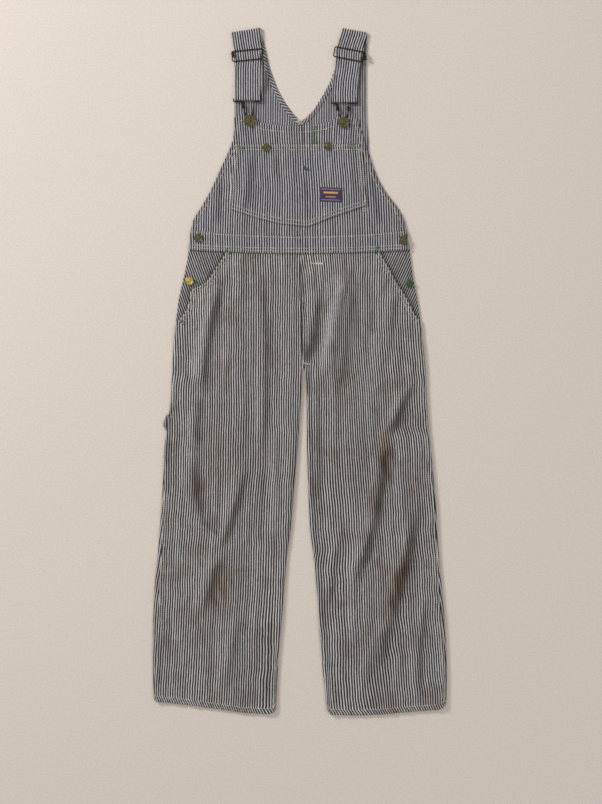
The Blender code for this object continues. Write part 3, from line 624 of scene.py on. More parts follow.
# Wire parts
WIRE = 1.1
WIRE_BEND = 2.6
RETURN_SLACK = 0.2
RETURN_LEVEL = BACK_TOP + SEAM_GAP + RETURN_SLACK + STRAP_WALL / 2
LOOP_LEVEL = RETURN_LEVEL + WIRE + SEAM_GAP + STRAP_WALL / 2
STRAP_LEVEL = RETURN_LEVEL + STRAP_WALL + SEAM_GAP
SLIDER_BAR_LEVEL = STRAP_LEVEL + STRAP_WALL / 2 + SEAM_GAP + WIRE
SLIDER_MIDDLE_LEVEL = BACK_TOP + SEAM_GAP + WIRE
STRAP_OVER_BAR = SLIDER_MIDDLE_LEVEL + WIRE + SEAM_GAP + STRAP_WALL / 2
SLIDERS = {
    "left": {"centre": (-104.2, 632.4), "half": (30.4, 10.0), "turn": 5.4},
    "right": {"centre": (98.8, 633.9), "half": (29.6, 9.9), "turn": -10.9},
}
SLIDER_ENDS = 3.4
SLIDER_LOBE = 1.2
STRAP_BUTTONS = {"left": (-100.4, 501.9), "right": (87.8, 498.3)}
LOOP_NECKS = {"left": (-13.0, 8.6), "right": (-12.4, 9.6)}
LOOP_SIDE_CLEAR = 2.0
LOOP_BAR_DROP = 5.6
LOOP_POST_CLEAR = 0.4
LOOP_NECK_DROP = 12.0
LOOP_NECK_TAPER = 0.92
LOOP_RING_START = 200.0
LOOP_RING_TURN = 140.0
LOOP_RING_STEPS = 12

# Places where the wire is wound round itself: from, to, and how many turns
WINDINGS = {
    "right_slider": (((127.6, 637.0), (131.4, 622.5), 5),),
    "left_slider": (((-132.6, 638.0), (-132.0, 627.0), 3),),
    "right_strap_loop": (((75.6, 530.0), (76.2, 521.0), 3), ((97.2, 530.5), (96.6, 521.5), 3)),
    "left_strap_loop": (((-113.2, 534.0), (-112.6, 525.5), 3),),
}
WINDING_REACH = 2.1
WINDING_STEPS = 12

# Buttons
STRAP_BUTTON = 23.2
TACK_BUTTON = 17.0
POCKET_BUTTON = 16.4
BUTTON_STEM = 0.8
HIP_STEM = 1.2
POST_SHARE = 0.12
SMALL_BUTTONS = (
    ("left_pocket_button", -66.6, 447.9, POCKET_BUTTON, BUTTON_STEM, OVERLAY_TOP, "brass"),
    ("right_pocket_button", 55.8, 450.5, POCKET_BUTTON, BUTTON_STEM, OVERLAY_TOP, "brass"),
    ("left_waist_button", -202.6, 266.9, TACK_BUTTON, BUTTON_STEM, OVERLAY_TOP, "brass"),
    ("right_waist_button", 207.0, 262.5, TACK_BUTTON, BUTTON_STEM, OVERLAY_TOP, "brass"),
    ("left_hip_button", -221.0, 181.5, TACK_BUTTON, HIP_STEM, FACING_TOP, "bright brass"),
    ("right_hip_button", 218.6, 176.5, TACK_BUTTON, HIP_STEM, FACING_TOP, "wound thread"),
)

# Profile of a button above its stem: the share of its radius, and the level
BUTTON_PROFILE = (
    (0.24, 0.0),
    (0.80, -0.05),
    (0.93, 0.1),
    (0.985, 0.5),
    (1.0, 1.0),
    (0.985, 1.6),
    (0.94, 2.05),
    (0.88, 2.2),
    (0.82, 2.15),
    (0.76, 1.9),
    (0.68, 1.62),
    (0.56, 1.55),
    (0.44, 1.7),
    (0.36, 2.0),
    (0.28, 2.3),
    (0.18, 2.42),
)


# Numbers along tables, folds and waves, on whole grids at once


def column(table, name):
    return table["columns"].index(name)


def smooth_step(value):
    value = np.clip(value, 0.0, 1.0)
    return value * value * (3 - 2 * value)


def mix(a, b, share):
    return a + (b - a) * share


def read(table, name, at):
    """The named column at places between the rows, along a smooth curve through them."""
    rows = np.array(sorted(table["rows"]), float)
    keys, values = rows[:, 0], rows[:, column(table, name)]
    count = len(keys)
    low = np.maximum(np.arange(count) - 1, 0)
    high = np.minimum(np.arange(count) + 1, count - 1)
    slopes = (values[high] - values[low]) / (keys[high] - keys[low])
    at = np.clip(at, keys[0], keys[-1])
    i = np.clip(np.searchsorted(keys, at, side="right") - 1, 0, count - 2)
    step = keys[i + 1] - keys[i]
    t = (at - keys[i]) / step
    return (
        (2 * t**3 - 3 * t**2 + 1) * values[i]
        + (t**3 - 2 * t**2 + t) * step * slopes[i]
        + (3 * t**2 - 2 * t**3) * values[i + 1]
        + (t**3 - t**2) * step * slopes[i + 1]
    )


def read_straight(table, name, at):
    """As read, but along straight lines, for an edge with corners."""
    rows = np.array(sorted(table["rows"]), float)
    return np.interp(at, rows[:, 0], rows[:, column(table, name)])


def fold_height(folds, x, y):
    """Sum of the folds at each place. A crest runs on a bowed line and dies out at its ends."""
    height = np.zeros(np.broadcast(x, y).shape)
    for x0, y0, x1, y1, x2, y2, rise, gentle, steep in folds:
        along = (y0 - y) / (y0 - y2)
        middle = (y0 - y1) / (y0 - y2)
        bow = (x1 - mix(x0, x2, middle)) / (middle * (1 - middle))
        crest = mix(x0, x2, along) + bow * along * (1 - along)
        width = np.where(x < crest, gentle, steep)
        across = np.minimum(np.abs(x - crest) / width, 1)
        ends = smooth_step(np.minimum(along, 1 - along) * 4)
        bump = rise * ends * (1 + np.cos(np.pi * across)) / 2
        height += np.where((along > 0) & (along < 1), bump, 0.0)
    return height


def waves(x, y, across, along, seed, count=7):
    """Uneven waves of about these two lengths, mostly between -1 and 1."""
    draw = np.random.default_rng(seed)
    total = np.zeros(np.broadcast(x, y).shape)
    for _ in range(count):
        turn = draw.uniform(0, 2 * np.pi)
        length = draw.uniform(0.7, 1.5)
        phase = draw.uniform(0, 2 * np.pi)
        way = x / across * np.cos(turn) + y / along * np.sin(turn)
        total += np.sin(2 * np.pi * way / length + phase)
    return total / count**0.5 / 1.4


def stain_mask(x, y):
    mask = np.zeros(np.broadcast(x, y).shape)
    for row in STAINS:
        stain = dict(zip(STAIN_COLUMNS, row))
        turn = math.radians(stain["turn"])
        dx, dy = x - stain["x"], y - stain["y"]
        u = (dx * math.cos(turn) + dy * math.sin(turn)) / stain["wide"]
        v = (dy * math.cos(turn) - dx * math.sin(turn)) / stain["high"]
        mask = np.maximum(mask, stain["strength"] * np.exp(-1.2 * (u * u + v * v)))
    return mask


def masks_at(x, y, dirt=1.0):
    """Stain, painted shade with some grime in the valleys, and pale ridges that are partly rubbed wear
    and partly painted highlight, at each place.
    """
    uneven = 0.85 + 0.25 * waves(x, y, 22, 40, 11)
    return {
        "stain": np.clip(dirt * stain_mask(x, y) * uneven, 0, 1),
        # painted shade and painted shadow, with some grime
        "shade_and_grime": np.clip(fold_height(SHADES, x, y), 0, 1),
        # pale ridges: partly rubbed wear, partly painted highlight
        "rub_and_highlight": np.clip(fold_height(RUBS_AND_HIGHLIGHTS, x, y), 0, 1),
    }


def spread(start, end, step, rim=0.8):
    """Even stations from start to end, with one more close to each end for the rim."""
    count = max(int(abs(end - start) / step), 2)
    near = rim / abs(end - start)
    shares = np.linspace(0, 1, count + 1)
    return mix(start, end, np.concatenate([[0, near], shares[1:-1], [1 - near, 1]]))


def stack(x, y, z):
    return np.stack(np.broadcast_arrays(x, y, z), axis=-1)


# Meshes


def object_from(name, mesh):
    obj = bpy.data.objects.new(name, mesh)
    bpy.context.scene.collection.objects.link(obj)
    return obj


def cloth_shell(name, over, under, quads, cloth_uv, materials, masks=None, sharp=55):
    """A closed wall of cloth: an outer face, an inner face, and a rim along every open edge.

    over and under are points in millimetres, quads index both, and cloth_uv is each point's
    place on the flat cloth. The outer face takes the first material, the inner one the last.
    """
    count = len(over)
    quads = np.asarray(quads)
    sides = np.concatenate([quads[:, [k, (k + 1) % 4]] for k in range(4)])
    _, first, times = np.unique(
        np.sort(sides, axis=1), axis=0, return_index=True, return_counts=True
    )
    rim = sides[first[times == 1]]
    walls = np.column_stack([rim[:, 1], rim[:, 0], rim[:, 0] + count, rim[:, 1] + count])
    faces = np.concatenate([quads, quads[:, ::-1] + count, walls])
    points = np.concatenate([over, under]) * MM
    corners = points[faces]
    areas = np.cross(corners[:, 2] - corners[:, 0], corners[:, 3] - corners[:, 1])
    if (corners.mean(axis=1) * areas).sum() < 0:
        faces = faces[:, ::-1]
    mesh = bpy.data.meshes.new(name)
    mesh.from_pydata(points.tolist(), [], faces.tolist())
    places = np.concatenate([cloth_uv, cloth_uv]) * MM
    layer = mesh.uv_layers.new(name="cloth")
    layer.data.foreach_set("uv", places[faces.ravel()].astype(np.float32).ravel())
    for mask, values in (masks or {}).items():
        attribute = mesh.attributes.new(mask, "FLOAT", "POINT")
        attribute.data.foreach_set("value", np.concatenate([values, values]).astype(np.float32))
    for material in materials:
        mesh.materials.append(material)
    slots = np.zeros(len(faces), np.int32)
    slots[len(quads) : 2 * len(quads)] = len(materials) - 1
    mesh.polygons.foreach_set("material_index", slots)
    mesh.shade_smooth()
    mesh.set_sharp_from_angle(angle=math.radians(sharp))
    return object_from(name, mesh)


def grid_quads(index):
    """The quads between neighbours in a grid of point numbers."""
    return np.column_stack(
        [index[:-1, :-1].ravel(), index[:-1, 1:].ravel(), index[1:, 1:].ravel(), index[1:, :-1].ravel()]
    )


def rounded_rim(over, under, soft):
    """Both faces of a grid, drawn together along its four edges."""
    share = np.zeros(over.shape[:2] + (1,))
    share[[0, -1]] = soft
    share[:, [0, -1]] = soft
    middle = (over + under) / 2
    return mix(over, middle, share), mix(under, middle, share)


def grid_shell(name, over, under, cloth_uv, materials, masks=None, soft=0.6):
    over, under = rounded_rim(over, under, soft)
    quads = grid_quads(np.arange(over.shape[0] * over.shape[1]).reshape(over.shape[:2]))
    masks = {mask: np.broadcast_to(v, over.shape[:2]).ravel() for mask, v in (masks or {}).items()}
    uv = np.stack(np.broadcast_arrays(*cloth_uv), axis=-1).reshape(-1, 2)
    return cloth_shell(
        name, over.reshape(-1, 3), under.reshape(-1, 3), quads, uv, materials, masks
    )


def arc_along_rows(points):
    """Length along each row of a grid, measured from the row's middle column."""
    steps = np.linalg.norm(np.diff(points, axis=1), axis=2)
    arc = np.concatenate([np.zeros((len(points), 1)), np.cumsum(steps, axis=1)], axis=1)
    middle = points.shape[1] // 2
    return arc - arc[:, middle : middle + 1]


def dress(piece, nodes, rests_on=None, flat=None):
    """Puts a piece in the frame: hides the parts that it stands for and hangs it on its body."""
    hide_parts(*nodes)
    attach(piece, BODY)
    if rests_on is None:
        return piece
    if flat is not None:
        return piece
    mesh = piece.data
    uv = np.empty(len(mesh.loops) * 2, np.float32)
    mesh.uv_layers["cloth"].data.foreach_get("uv", uv)
    return piece


# Shader nodes


def srgb(red, green, blue):
    """A colour as it is seen, from 0 to 255, turned into light."""
    seen = np.array([red, green, blue]) / 255
    light = np.where(seen <= 0.04045, seen / 12.92, ((seen + 0.055) / 1.055) ** 2.4)
    return (*light.tolist(), 1.0)


def put(tree, kind, inputs=None, **settings):
    """A node with these settings. An input is a value or the socket that feeds it."""
    node = tree.nodes.new(kind)
    for name, value in settings.items():
        setattr(node, name, value)
    for key, value in (inputs or {}).items():
        if isinstance(value, bpy.types.NodeSocket):
            tree.links.new(value, node.inputs[key])
        else:
            node.inputs[key].default_value = value
    return node


def maths(tree, operation, a, b=0.0, clamp=False):
    node = put(tree, "ShaderNodeMath", {0: a, 1: b}, operation=operation, use_clamp=clamp)
    return node.outputs[0]


def ramp(tree, value, low, high, to_low=0.0, to_high=1.0):
    """The value stretched from low..high to to_low..to_high, with soft ends."""
    node = put(
        tree,
        "ShaderNodeMapRange",
        {"Value": value, "From Min": low, "From Max": high, "To Min": to_low, "To Max": to_high},
        interpolation_type="SMOOTHSTEP",
    )
    return node.outputs["Result"]


def blend(tree, share, a, b, kind="MIX"):
    node = put(
        tree,
        "ShaderNodeMix",
        {"Factor": share, 6: a, 7: b},
        data_type="RGBA",
        blend_type=kind,
        clamp_result=True,
    )
    return node.outputs[2]


def noise(tree, place, scale, detail=2.0, roughness=0.5):
    node = put(
        tree,
        "ShaderNodeTexNoise",
        {"Vector": place, "Scale": scale, "Detail": detail, "Roughness": roughness},
    )
    return node.outputs["Fac"]


def stretched(tree, place, x, y, z=1.0):
    """The place with each of its directions scaled, which draws a pattern out."""
    node = put(tree, "ShaderNodeMapping", {"Vector": place, "Scale": (x, y, z)})
    return node.outputs["Vector"]


def shader_group(name, inputs, outputs):
    """A new group with sockets given as (name, kind, value) and (name, kind)."""
    group = bpy.data.node_groups.new(name, "ShaderNodeTree")
    for label, kind, value in inputs:
        socket = group.interface.new_socket(label, in_out="INPUT", socket_type=kind)
        if value is not None:
            socket.default_value = value
    for label, kind in outputs:
        group.interface.new_socket(label, in_out="OUTPUT", socket_type=kind)
    return group, group.nodes.new("NodeGroupInput").outputs, group.nodes.new("NodeGroupOutput")


def give(tree, outlet, **values):
    for name, socket in values.items():
        tree.links.new(socket, outlet.inputs[name.replace("_", " ").capitalize()])


def stripe_group():
    """The dark and pale stripes of the cloth, uneven as woven yarn is."""
    tree, given, outlet = shader_group(
        "Work stripe",
        (
            ("Place", "NodeSocketVector", None),
            ("Pitch", "NodeSocketFloat", STRIPE_PITCH * MM),
            ("Pale share", "NodeSocketFloat", 0.4),
            ("Softness", "NodeSocketFloat", 0.07),
        ),
        (("Pale", "NodeSocketFloat"), ("Tint", "NodeSocketFloat"), ("Slub", "NodeSocketFloat")),
    )
    place = given["Place"]
    wobble = maths(tree, "SUBTRACT", noise(tree, stretched(tree, place, 260, 60), 1.0), 0.5)
    across = put(tree, "ShaderNodeSeparateXYZ", {"Vector": place}).outputs["X"]
    across = maths(tree, "DIVIDE", across, given["Pitch"])
    across = maths(tree, "ADD", across, maths(tree, "MULTIPLY", wobble, 0.22))
    number = maths(tree, "FLOOR", across)
    within = maths(tree, "SUBTRACT", maths(tree, "FRACT", across), 0.5)
    within = maths(tree, "MULTIPLY", maths(tree, "ABSOLUTE", within), 2.0)
    low = maths(tree, "SUBTRACT", given["Pale share"], given["Softness"])
    high = maths(tree, "ADD", given["Pale share"], given["Softness"])
    pale = ramp(tree, within, low, high, 1.0, 0.0)
    tint = put(tree, "ShaderNodeTexWhiteNoise", {"W": number}, noise_dimensions="1D")
    slub = noise(tree, stretched(tree, place, 1500, 160), 1.0, 3.0, 0.6)
    give(tree, outlet, Pale=pale, Tint=tint.outputs["Value"], Slub=slub)
    return tree


def weave_group():
    """Twill: fine ridges that climb across the stripes, with a grain of single threads."""
    tree, given, outlet = shader_group(
        "Twill weave",
        (
            ("Place", "NodeSocketVector", None),
            ("Ridge", "NodeSocketFloat", 0.0011),
            ("Climb", "NodeSocketFloat", 1.6),
        ),
        (("Height", "NodeSocketFloat"), ("Thread", "NodeSocketFloat")),
    )
    parts = put(tree, "ShaderNodeSeparateXYZ", {"Vector": given["Place"]}).outputs
    way = maths(tree, "ADD", maths(tree, "MULTIPLY", parts["X"], given["Climb"]), parts["Y"])
    turn = maths(tree, "MULTIPLY", maths(tree, "DIVIDE", way, given["Ridge"]), 2 * math.pi)
    ridge = maths(tree, "ADD", maths(tree, "MULTIPLY", maths(tree, "SINE", turn), 0.5), 0.5)
    grain = noise(tree, given["Place"], 1300.0, 2.0, 0.7)
    height = maths(tree, "ADD", maths(tree, "MULTIPLY", ridge, 0.6), grain)
    give(tree, outlet, Height=height, Thread=grain)
    return tree


def wear_and_shade_group():
    """Dirt, wear and painted light over any cloth: stains, painted shade with some grime in the valleys,
    pale ridges that are partly rubbed wear and partly painted highlight, and mottling.
    """
    tree, given, outlet = shader_group(
        "Dirt and wear",
        (
            ("Colour", "NodeSocketColor", (0.5, 0.5, 0.5, 1)),
            ("Stain colour", "NodeSocketColor", (0.5, 0.4, 0.3, 1)),
            ("Mottling", "NodeSocketFloat", 0.3),
            ("Dust", "NodeSocketFloat", 0.2),
        ),
        (("Colour", "NodeSocketColor"), ("Soiled", "NodeSocketFloat")),
    )
    place = put(tree, "ShaderNodeTexCoord").outputs["Object"]

    def mask(name):
        return put(tree, "ShaderNodeAttribute", attribute_name=name).outputs["Fac"]

    patches = noise(tree, place, 16.0, 4.0, 0.6)
    specks = noise(tree, place, 170.0, 3.0, 0.65)
    broken = maths(tree, "MULTIPLY", maths(tree, "SUBTRACT", specks, 0.5), 0.5)
    uneven = maths(tree, "MULTIPLY", maths(tree, "SUBTRACT", patches, 0.5), 0.9)
    stain = maths(tree, "ADD", mask("stain"), maths(tree, "MULTIPLY", uneven, mask("stain")))
    stain = maths(tree, "ADD", stain, maths(tree, "MULTIPLY", broken, mask("stain")))
    dust = maths(tree, "MULTIPLY", ramp(tree, patches, 0.42, 0.72), given["Dust"])
    stain = maths(tree, "MAXIMUM", stain, dust, clamp=True)
    colour = blend(tree, stain, given["Colour"], given["Stain colour"], "MULTIPLY")
    # Painted shade along the fold valleys, seams and pocket mouths and painted shadow beside the straps,
    # with some grime, multiplied in unevenly
    shade_and_grime = maths(tree, "MULTIPLY", mask("shade_and_grime"), ramp(tree, patches, 0.25, 0.6, 0.45, 0.75))
    colour = blend(tree, shade_and_grime, colour, SHADE_AND_GRIME_COLOUR, "MULTIPLY")
    # Pale ridges: partly rubbed wear, partly painted highlight on their lit side
    rub_and_highlight = maths(tree, "MULTIPLY", mask("rub_and_highlight"), ramp(tree, specks, 0.3, 0.7, 0.12, 0.4))
    colour = blend(tree, rub_and_highlight, colour, RUB_AND_HIGHLIGHT_COLOUR, "MIX")
    fade = maths(tree, "MULTIPLY", maths(tree, "SUBTRACT", patches, 0.5), given["Mottling"])
    speck = maths(tree, "MULTIPLY", maths(tree, "SUBTRACT", specks, 0.5), given["Mottling"])
    level = maths(tree, "ADD", maths(tree, "ADD", fade, speck), 1.0)
    bright = put(tree, "ShaderNodeHueSaturation", {"Color": colour, "Value": level})
    give(tree, outlet, Colour=bright.outputs["Color"], Soiled=stain)
    return tree


def tarnish_group():
    """Patches and pits on metal: a second colour, and a roughness that follows it."""
    tree, given, outlet = shader_group(
        "Tarnish",
        (
            ("Clean", "NodeSocketColor", (0.5, 0.5, 0.5, 1)),
            ("Tarnished", "NodeSocketColor", (0.1, 0.1, 0.1, 1)),
            ("Scale", "NodeSocketFloat", 700.0),
            ("Amount", "NodeSocketFloat", 0.5),
        ),
        (("Colour", "NodeSocketColor"), ("Roughness", "NodeSocketFloat"), ("Height", "NodeSocketFloat")),
    )
    place = put(tree, "ShaderNodeTexCoord").outputs["Object"]
    patches = put(
        tree,
        "ShaderNodeTexNoise",
        {"Vector": place, "Scale": given["Scale"], "Detail": 5.0, "Roughness": 0.7},
    ).outputs["Fac"]
    edge = maths(tree, "SUBTRACT", 1.0, given["Amount"])
    share = ramp(tree, patches, maths(tree, "SUBTRACT", edge, 0.1), maths(tree, "ADD", edge, 0.08))
    colour = blend(tree, share, given["Clean"], given["Tarnished"])
    give(tree, outlet, Colour=colour, Roughness=ramp(tree, share, 0, 1, 0.34, 0.75), Height=patches)
    return tree


# Cloth

# Colour of the painted shade, with some grime, in the fold valleys
SHADE_AND_GRIME_COLOUR = srgb(104, 92, 88)
# Pale for the ridges: partly rubbed wear, partly painted highlight
RUB_AND_HIGHLIGHT_COLOUR = srgb(178, 178, 190)
STRIPE_GROUP = stripe_group()
WEAVE_GROUP = weave_group()
WEAR_AND_SHADE_GROUP = wear_and_shade_group()
TARNISH_GROUP = tarnish_group()

CLOTHS = {
    "leg": {
        "dark": srgb(20, 23, 35),
        "pale": srgb(206, 202, 200),
        "stain": srgb(170, 142, 112),
        "mottling": 0.5,
        "dust": 0.5,
    },
    "bib": {
        "dark": srgb(18, 22, 37),
        "pale": srgb(194, 191, 194),
        "stain": srgb(184, 164, 140),
        "mottling": 0.45,
        "dust": 0.2,
    },
    "inside": {
        "dark": srgb(62, 64, 76),
        "pale": srgb(182, 176, 176),
        "stain": srgb(190, 170, 146),
        "mottling": 0.35,
        "dust": 0.25,
    },
    "facing": {
        "dark": srgb(18, 20, 31),
        "pale": srgb(184, 180, 180),
        "stain": srgb(176, 148, 118),
        "mottling": 0.5,
        "dust": 0.4,
    },
}


def group_node(tree, group, inputs):
    node = tree.nodes.new("ShaderNodeGroup")
    node.node_tree = group
    for name, value in inputs.items():
        if isinstance(value, bpy.types.NodeSocket):
            tree.links.new(value, node.inputs[name])
        else:
            node.inputs[name].default_value = value
    return node.outputs


def new_material(name, **constants):
    """A material with its shader's own values set. Returns it with its tree and shader."""
    material = bpy.data.materials.new(name)
    material.use_nodes = True
    tree = material.node_tree
    shader = tree.nodes["Principled BSDF"]
    for label, value in constants.items():
        shader.inputs[label.replace("_", " ")].default_value = value
    return material, tree, shader


def bump(tree, shader, height, strength, distance):
    node = put(
        tree, "ShaderNodeBump", {"Height": height, "Strength": strength, "Distance": distance}
    )
    tree.links.new(node.outputs["Normal"], shader.inputs["Normal"])


def striped_cloth(name):
    look = CLOTHS[name]
    material, tree, shader = new_material(
        f"striped cloth, {name}", Sheen_Weight=0.18, Sheen_Roughness=0.6, Specular_IOR_Level=0.25
    )
    place = put(tree, "ShaderNodeUVMap", uv_map="cloth").outputs["UV"]
    stripe = group_node(tree, STRIPE_GROUP, {"Place": place})
    weave = group_node(tree, WEAVE_GROUP, {"Place": place})
    worn = ramp(tree, stripe["Slub"], 0.25, 0.75, -0.16, 0.16)
    pale = maths(tree, "ADD", maths(tree, "MULTIPLY", stripe["Pale"], 0.88), worn, clamp=True)
    colour = blend(tree, pale, look["dark"], look["pale"])
    tint = ramp(tree, stripe["Tint"], 0, 1, 0.88, 1.12)
    thread = ramp(tree, weave["Thread"], 0.2, 0.8, 0.84, 1.16)
    level = maths(tree, "MULTIPLY", tint, thread)
    varied = put(tree, "ShaderNodeHueSaturation", {"Color": colour, "Value": level})
    # Stains, dust and rubbed wear, with painted shade in the fold valleys and painted highlight on the
    # ridges
    wear_and_shade = group_node(
        tree,
        WEAR_AND_SHADE_GROUP,
        {
            "Colour": varied.outputs["Color"],
            "Stain colour": look["stain"],
            "Mottling": look["mottling"],
            "Dust": look["dust"],
        },
    )
    tree.links.new(wear_and_shade["Colour"], shader.inputs["Base Color"])
    rough = ramp(tree, wear_and_shade["Soiled"], 0, 1, 0.86, 0.95)
    tree.links.new(rough, shader.inputs["Roughness"])
    bump(tree, shader, weave["Height"], 0.45, 0.00025)
    return material


# Thread, metal and label


def thread_finish(name, colour, other):
    """Twisted thread: a fine slanting lay, and patches where it is soiled."""
    material, tree, shader = new_material(name, Sheen_Weight=0.2, Specular_IOR_Level=0.3)
    place = put(tree, "ShaderNodeTexCoord").outputs["Object"]
    patches = ramp(tree, noise(tree, place, 60.0, 3.0, 0.6), 0.35, 0.65)
    fine = ramp(tree, noise(tree, place, 1400.0, 1.0), 0.3, 0.7, 0.8, 1.15)
    colour = blend(tree, patches, colour, other)
    bright = put(tree, "ShaderNodeHueSaturation", {"Color": colour, "Value": fine})
    tree.links.new(bright.outputs["Color"], shader.inputs["Base Color"])
    tree.links.new(ramp(tree, patches, 0, 1, 0.7, 0.9), shader.inputs["Roughness"])
    lay = put(
        tree,
        "ShaderNodeTexWave",
        {"Vector": place, "Scale": 420.0, "Distortion": 1.5},
        bands_direction="DIAGONAL",
    )
    bump(tree, shader, lay.outputs["Fac"], 0.5, 0.0002)
    return material


def metal_finish(name, clean, tarnished, scale, amount, metallic):
    material, tree, shader = new_material(name, Metallic=metallic)
    tarnish = group_node(
        tree,
        TARNISH_GROUP,
        {"Clean": clean, "Tarnished": tarnished, "Scale": scale, "Amount": amount},
    )
    tree.links.new(tarnish["Colour"], shader.inputs["Base Color"])
    tree.links.new(tarnish["Roughness"], shader.inputs["Roughness"])
    bump(tree, shader, tarnish["Height"], 0.35, 0.0003)
    return material


def label_finish():
    """Woven label: purple, with a plain yellow border and two plain yellow bands."""
    material, tree, shader = new_material("woven label", Sheen_Weight=0.15)
    place = put(tree, "ShaderNodeUVMap", uv_map="cloth").outputs["UV"]
    parts = put(tree, "ShaderNodeSeparateXYZ", {"Vector": place}).outputs
    wide, high = (size * MM for size in LABEL_SIZE)

    def band(value, centre, half):
        away = maths(tree, "ABSOLUTE", maths(tree, "SUBTRACT", value, centre))
        return ramp(tree, away, half - 0.0003, half + 0.0003, 1.0, 0.0)

    yellow = 0.0
    for centre, half, start, end in LABEL_BANDS:
        line = band(parts["Y"], centre * high, half * MM)
        length = band(parts["X"], (start + end) / 2 * wide, (end - start) / 2 * wide)
        yellow = maths(tree, "MAXIMUM", yellow, maths(tree, "MULTIPLY", line, length))
    weave = noise(tree, stretched(tree, place, 900, 2600), 1.0, 1.0)
    colour = blend(tree, yellow, LABEL_PURPLE, LABEL_YELLOW)
    level = ramp(tree, weave, 0.25, 0.75, 0.72, 1.25)
    bright = put(tree, "ShaderNodeHueSaturation", {"Color": colour, "Value": level})
    tree.links.new(bright.outputs["Color"], shader.inputs["Base Color"])
    tree.links.new(ramp(tree, weave, 0, 1, 0.55, 0.8), shader.inputs["Roughness"])
    bump(tree, shader, weave, 0.6, 0.0002)
    return material


LABEL_PURPLE = srgb(52, 38, 82)
LABEL_YELLOW = srgb(196, 158, 70)

# Plain bands on the label: height as a share, half width in mm, and where each starts and ends
LABEL_BANDS = (
    (0.88, 0.4, 0.08, 0.92),
    (0.64, 1.9, 0.18, 0.82),
    (0.34, 0.8, 0.28, 0.72),
    (0.12, 0.4, 0.08, 0.92),
)


def floor_finish():
    material, tree, shader = new_material("pale floor", Specular_IOR_Level=0.2)
    place = put(tree, "ShaderNodeTexCoord").outputs["Object"]
    grain = noise(tree, place, 300.0, 3.0, 0.7)
    colour = blend(tree, ramp(tree, grain, 0.3, 0.7), srgb(212, 202, 192), srgb(224, 215, 205))
    tree.links.new(colour, shader.inputs["Base Color"])
    tree.links.new(ramp(tree, grain, 0, 1, 0.8, 0.95), shader.inputs["Roughness"])
    return material


# Legs: a flattened tube cut into a front and a back


def leg_edge(side, where, y):
    return read(LEG_EDGES, f"{side}_{where}", y)


def roll_share(where, y):
    """0 where the layers lie flat and apart, 1 where they join in a rolled edge."""
    start = VENT_END if where == "outer" else CROTCH
    return smooth_step((start - y) / ROLL_BLEND)


def pocket_lift(side, x, y):
    """How far the front rides over the pocket facing."""
    hidden = read(FACING_EDGE, side, y)
    inward = (x - hidden) if side == "left" else (hidden - x)
    across = 1 - smooth_step((inward - LIFT_REACH) / LIFT_SLOPE)
    above = smooth_step((LEG_SHOWS - LIFT_START - y) / LIFT_TOP_BLEND)
    below = smooth_step((y - VENT_END + LIFT_END) / LIFT_END_BLEND)
    return POCKET_LIFT * across * above * below


def seam_puckers(along, away, seed, rise=0.3, wave=13.0, reach=11.0):
    """Small ripples that stand square to a seam and fade away from it."""
    ripple = np.sin(2 * np.pi * (along + 3 * waves(along, 0 * away, 40, 40, seed)) / wave)
    return rise * ripple * np.exp(-np.abs(away) / reach)


def seam_ridge(away, wide, rise):
    """The step of a felled seam: cloth lies double for its width."""
    return rise * smooth_step((wide - away) / 1.6 + 0.5)


def leg_relief(side, x, y):
    """Height of the front's outer face away from the rolled edges."""
    puff = LEG_PUFF * smooth_step((LEG_SHOWS - y) / PUFF_BLEND)
    shown = smooth_step((LEG_SHOWS - FOLD_START - y) / FOLD_BLEND)
    folds = LEG_FOLD_GAIN * fold_height(LEG_FOLDS, x, y)
    folds += CREASE_GAIN * fold_height(LEG_CREASES, x, y)
    rumple = 0.8 * waves(x, y, 34, 110, 3) + 0.3 * waves(x, y, 13, 42, 4)
    rumple += 0.1 * waves(x, y, 6, 15, 5)
    rise = np.maximum(pocket_lift(side, x, y), puff) + (folds + rumple) * shown
    return FRONT_TOP + np.maximum(rise, 0.1 * shown)


def seam_relief(side, x, y, edge_outer):
    """What the seams add: the ridge at the front and between the legs, and puckers beside them."""
    inner = leg_edge(side, "inner", y)
    from_inner = np.abs(x - inner)
    from_outer = np.abs(x - edge_outer)
    wide = 8.5 if side == "right" else 4.0
    ridge = seam_ridge(from_inner, wide, 0.7) + 0.6 * seam_ridge(from_outer, 8.0, 0.7)
    seed = 21 if side == "left" else 22
    puckers = seam_puckers(y, from_inner, seed) + seam_puckers(y, from_outer, seed + 4, 0.35)
    from_waist = LEG_SHOWS - y
    gathered = seam_puckers(x, from_waist, seed + 8, 0.55, 17.0, 26.0)
    shown = smooth_step((LEG_SHOWS - FOLD_START - y) / 8)
    return (ridge + puckers + gathered) * shown


def hem_relief(u, y, row):
    """The doubled hem, with the slanting ripples that washing leaves in it."""
    inside = smooth_step((HEM + HEM_DEPTH + 0.6 - row) / 0.6)
    ripple = np.sin(2 * np.pi * (u - 1.1 * (row - HEM) + 4 * waves(u, row, 60, 60, 31)) / 15)
    above = np.exp(-np.maximum(row - HEM - HEM_DEPTH, 0) / 14) * (1 - inside)
    return HEM_STEP * inside + 0.45 * ripple * inside + 0.35 * ripple * above


def hem_y(x, row):
    """Rows are level at the waist and follow the hem line at the bottom."""
    share = smooth_step((HEM_SLANT_START - row) / HEM_SLANT_BLEND)
    return row + (read_straight(HEM_LINE, "y", x) - HEM) * share


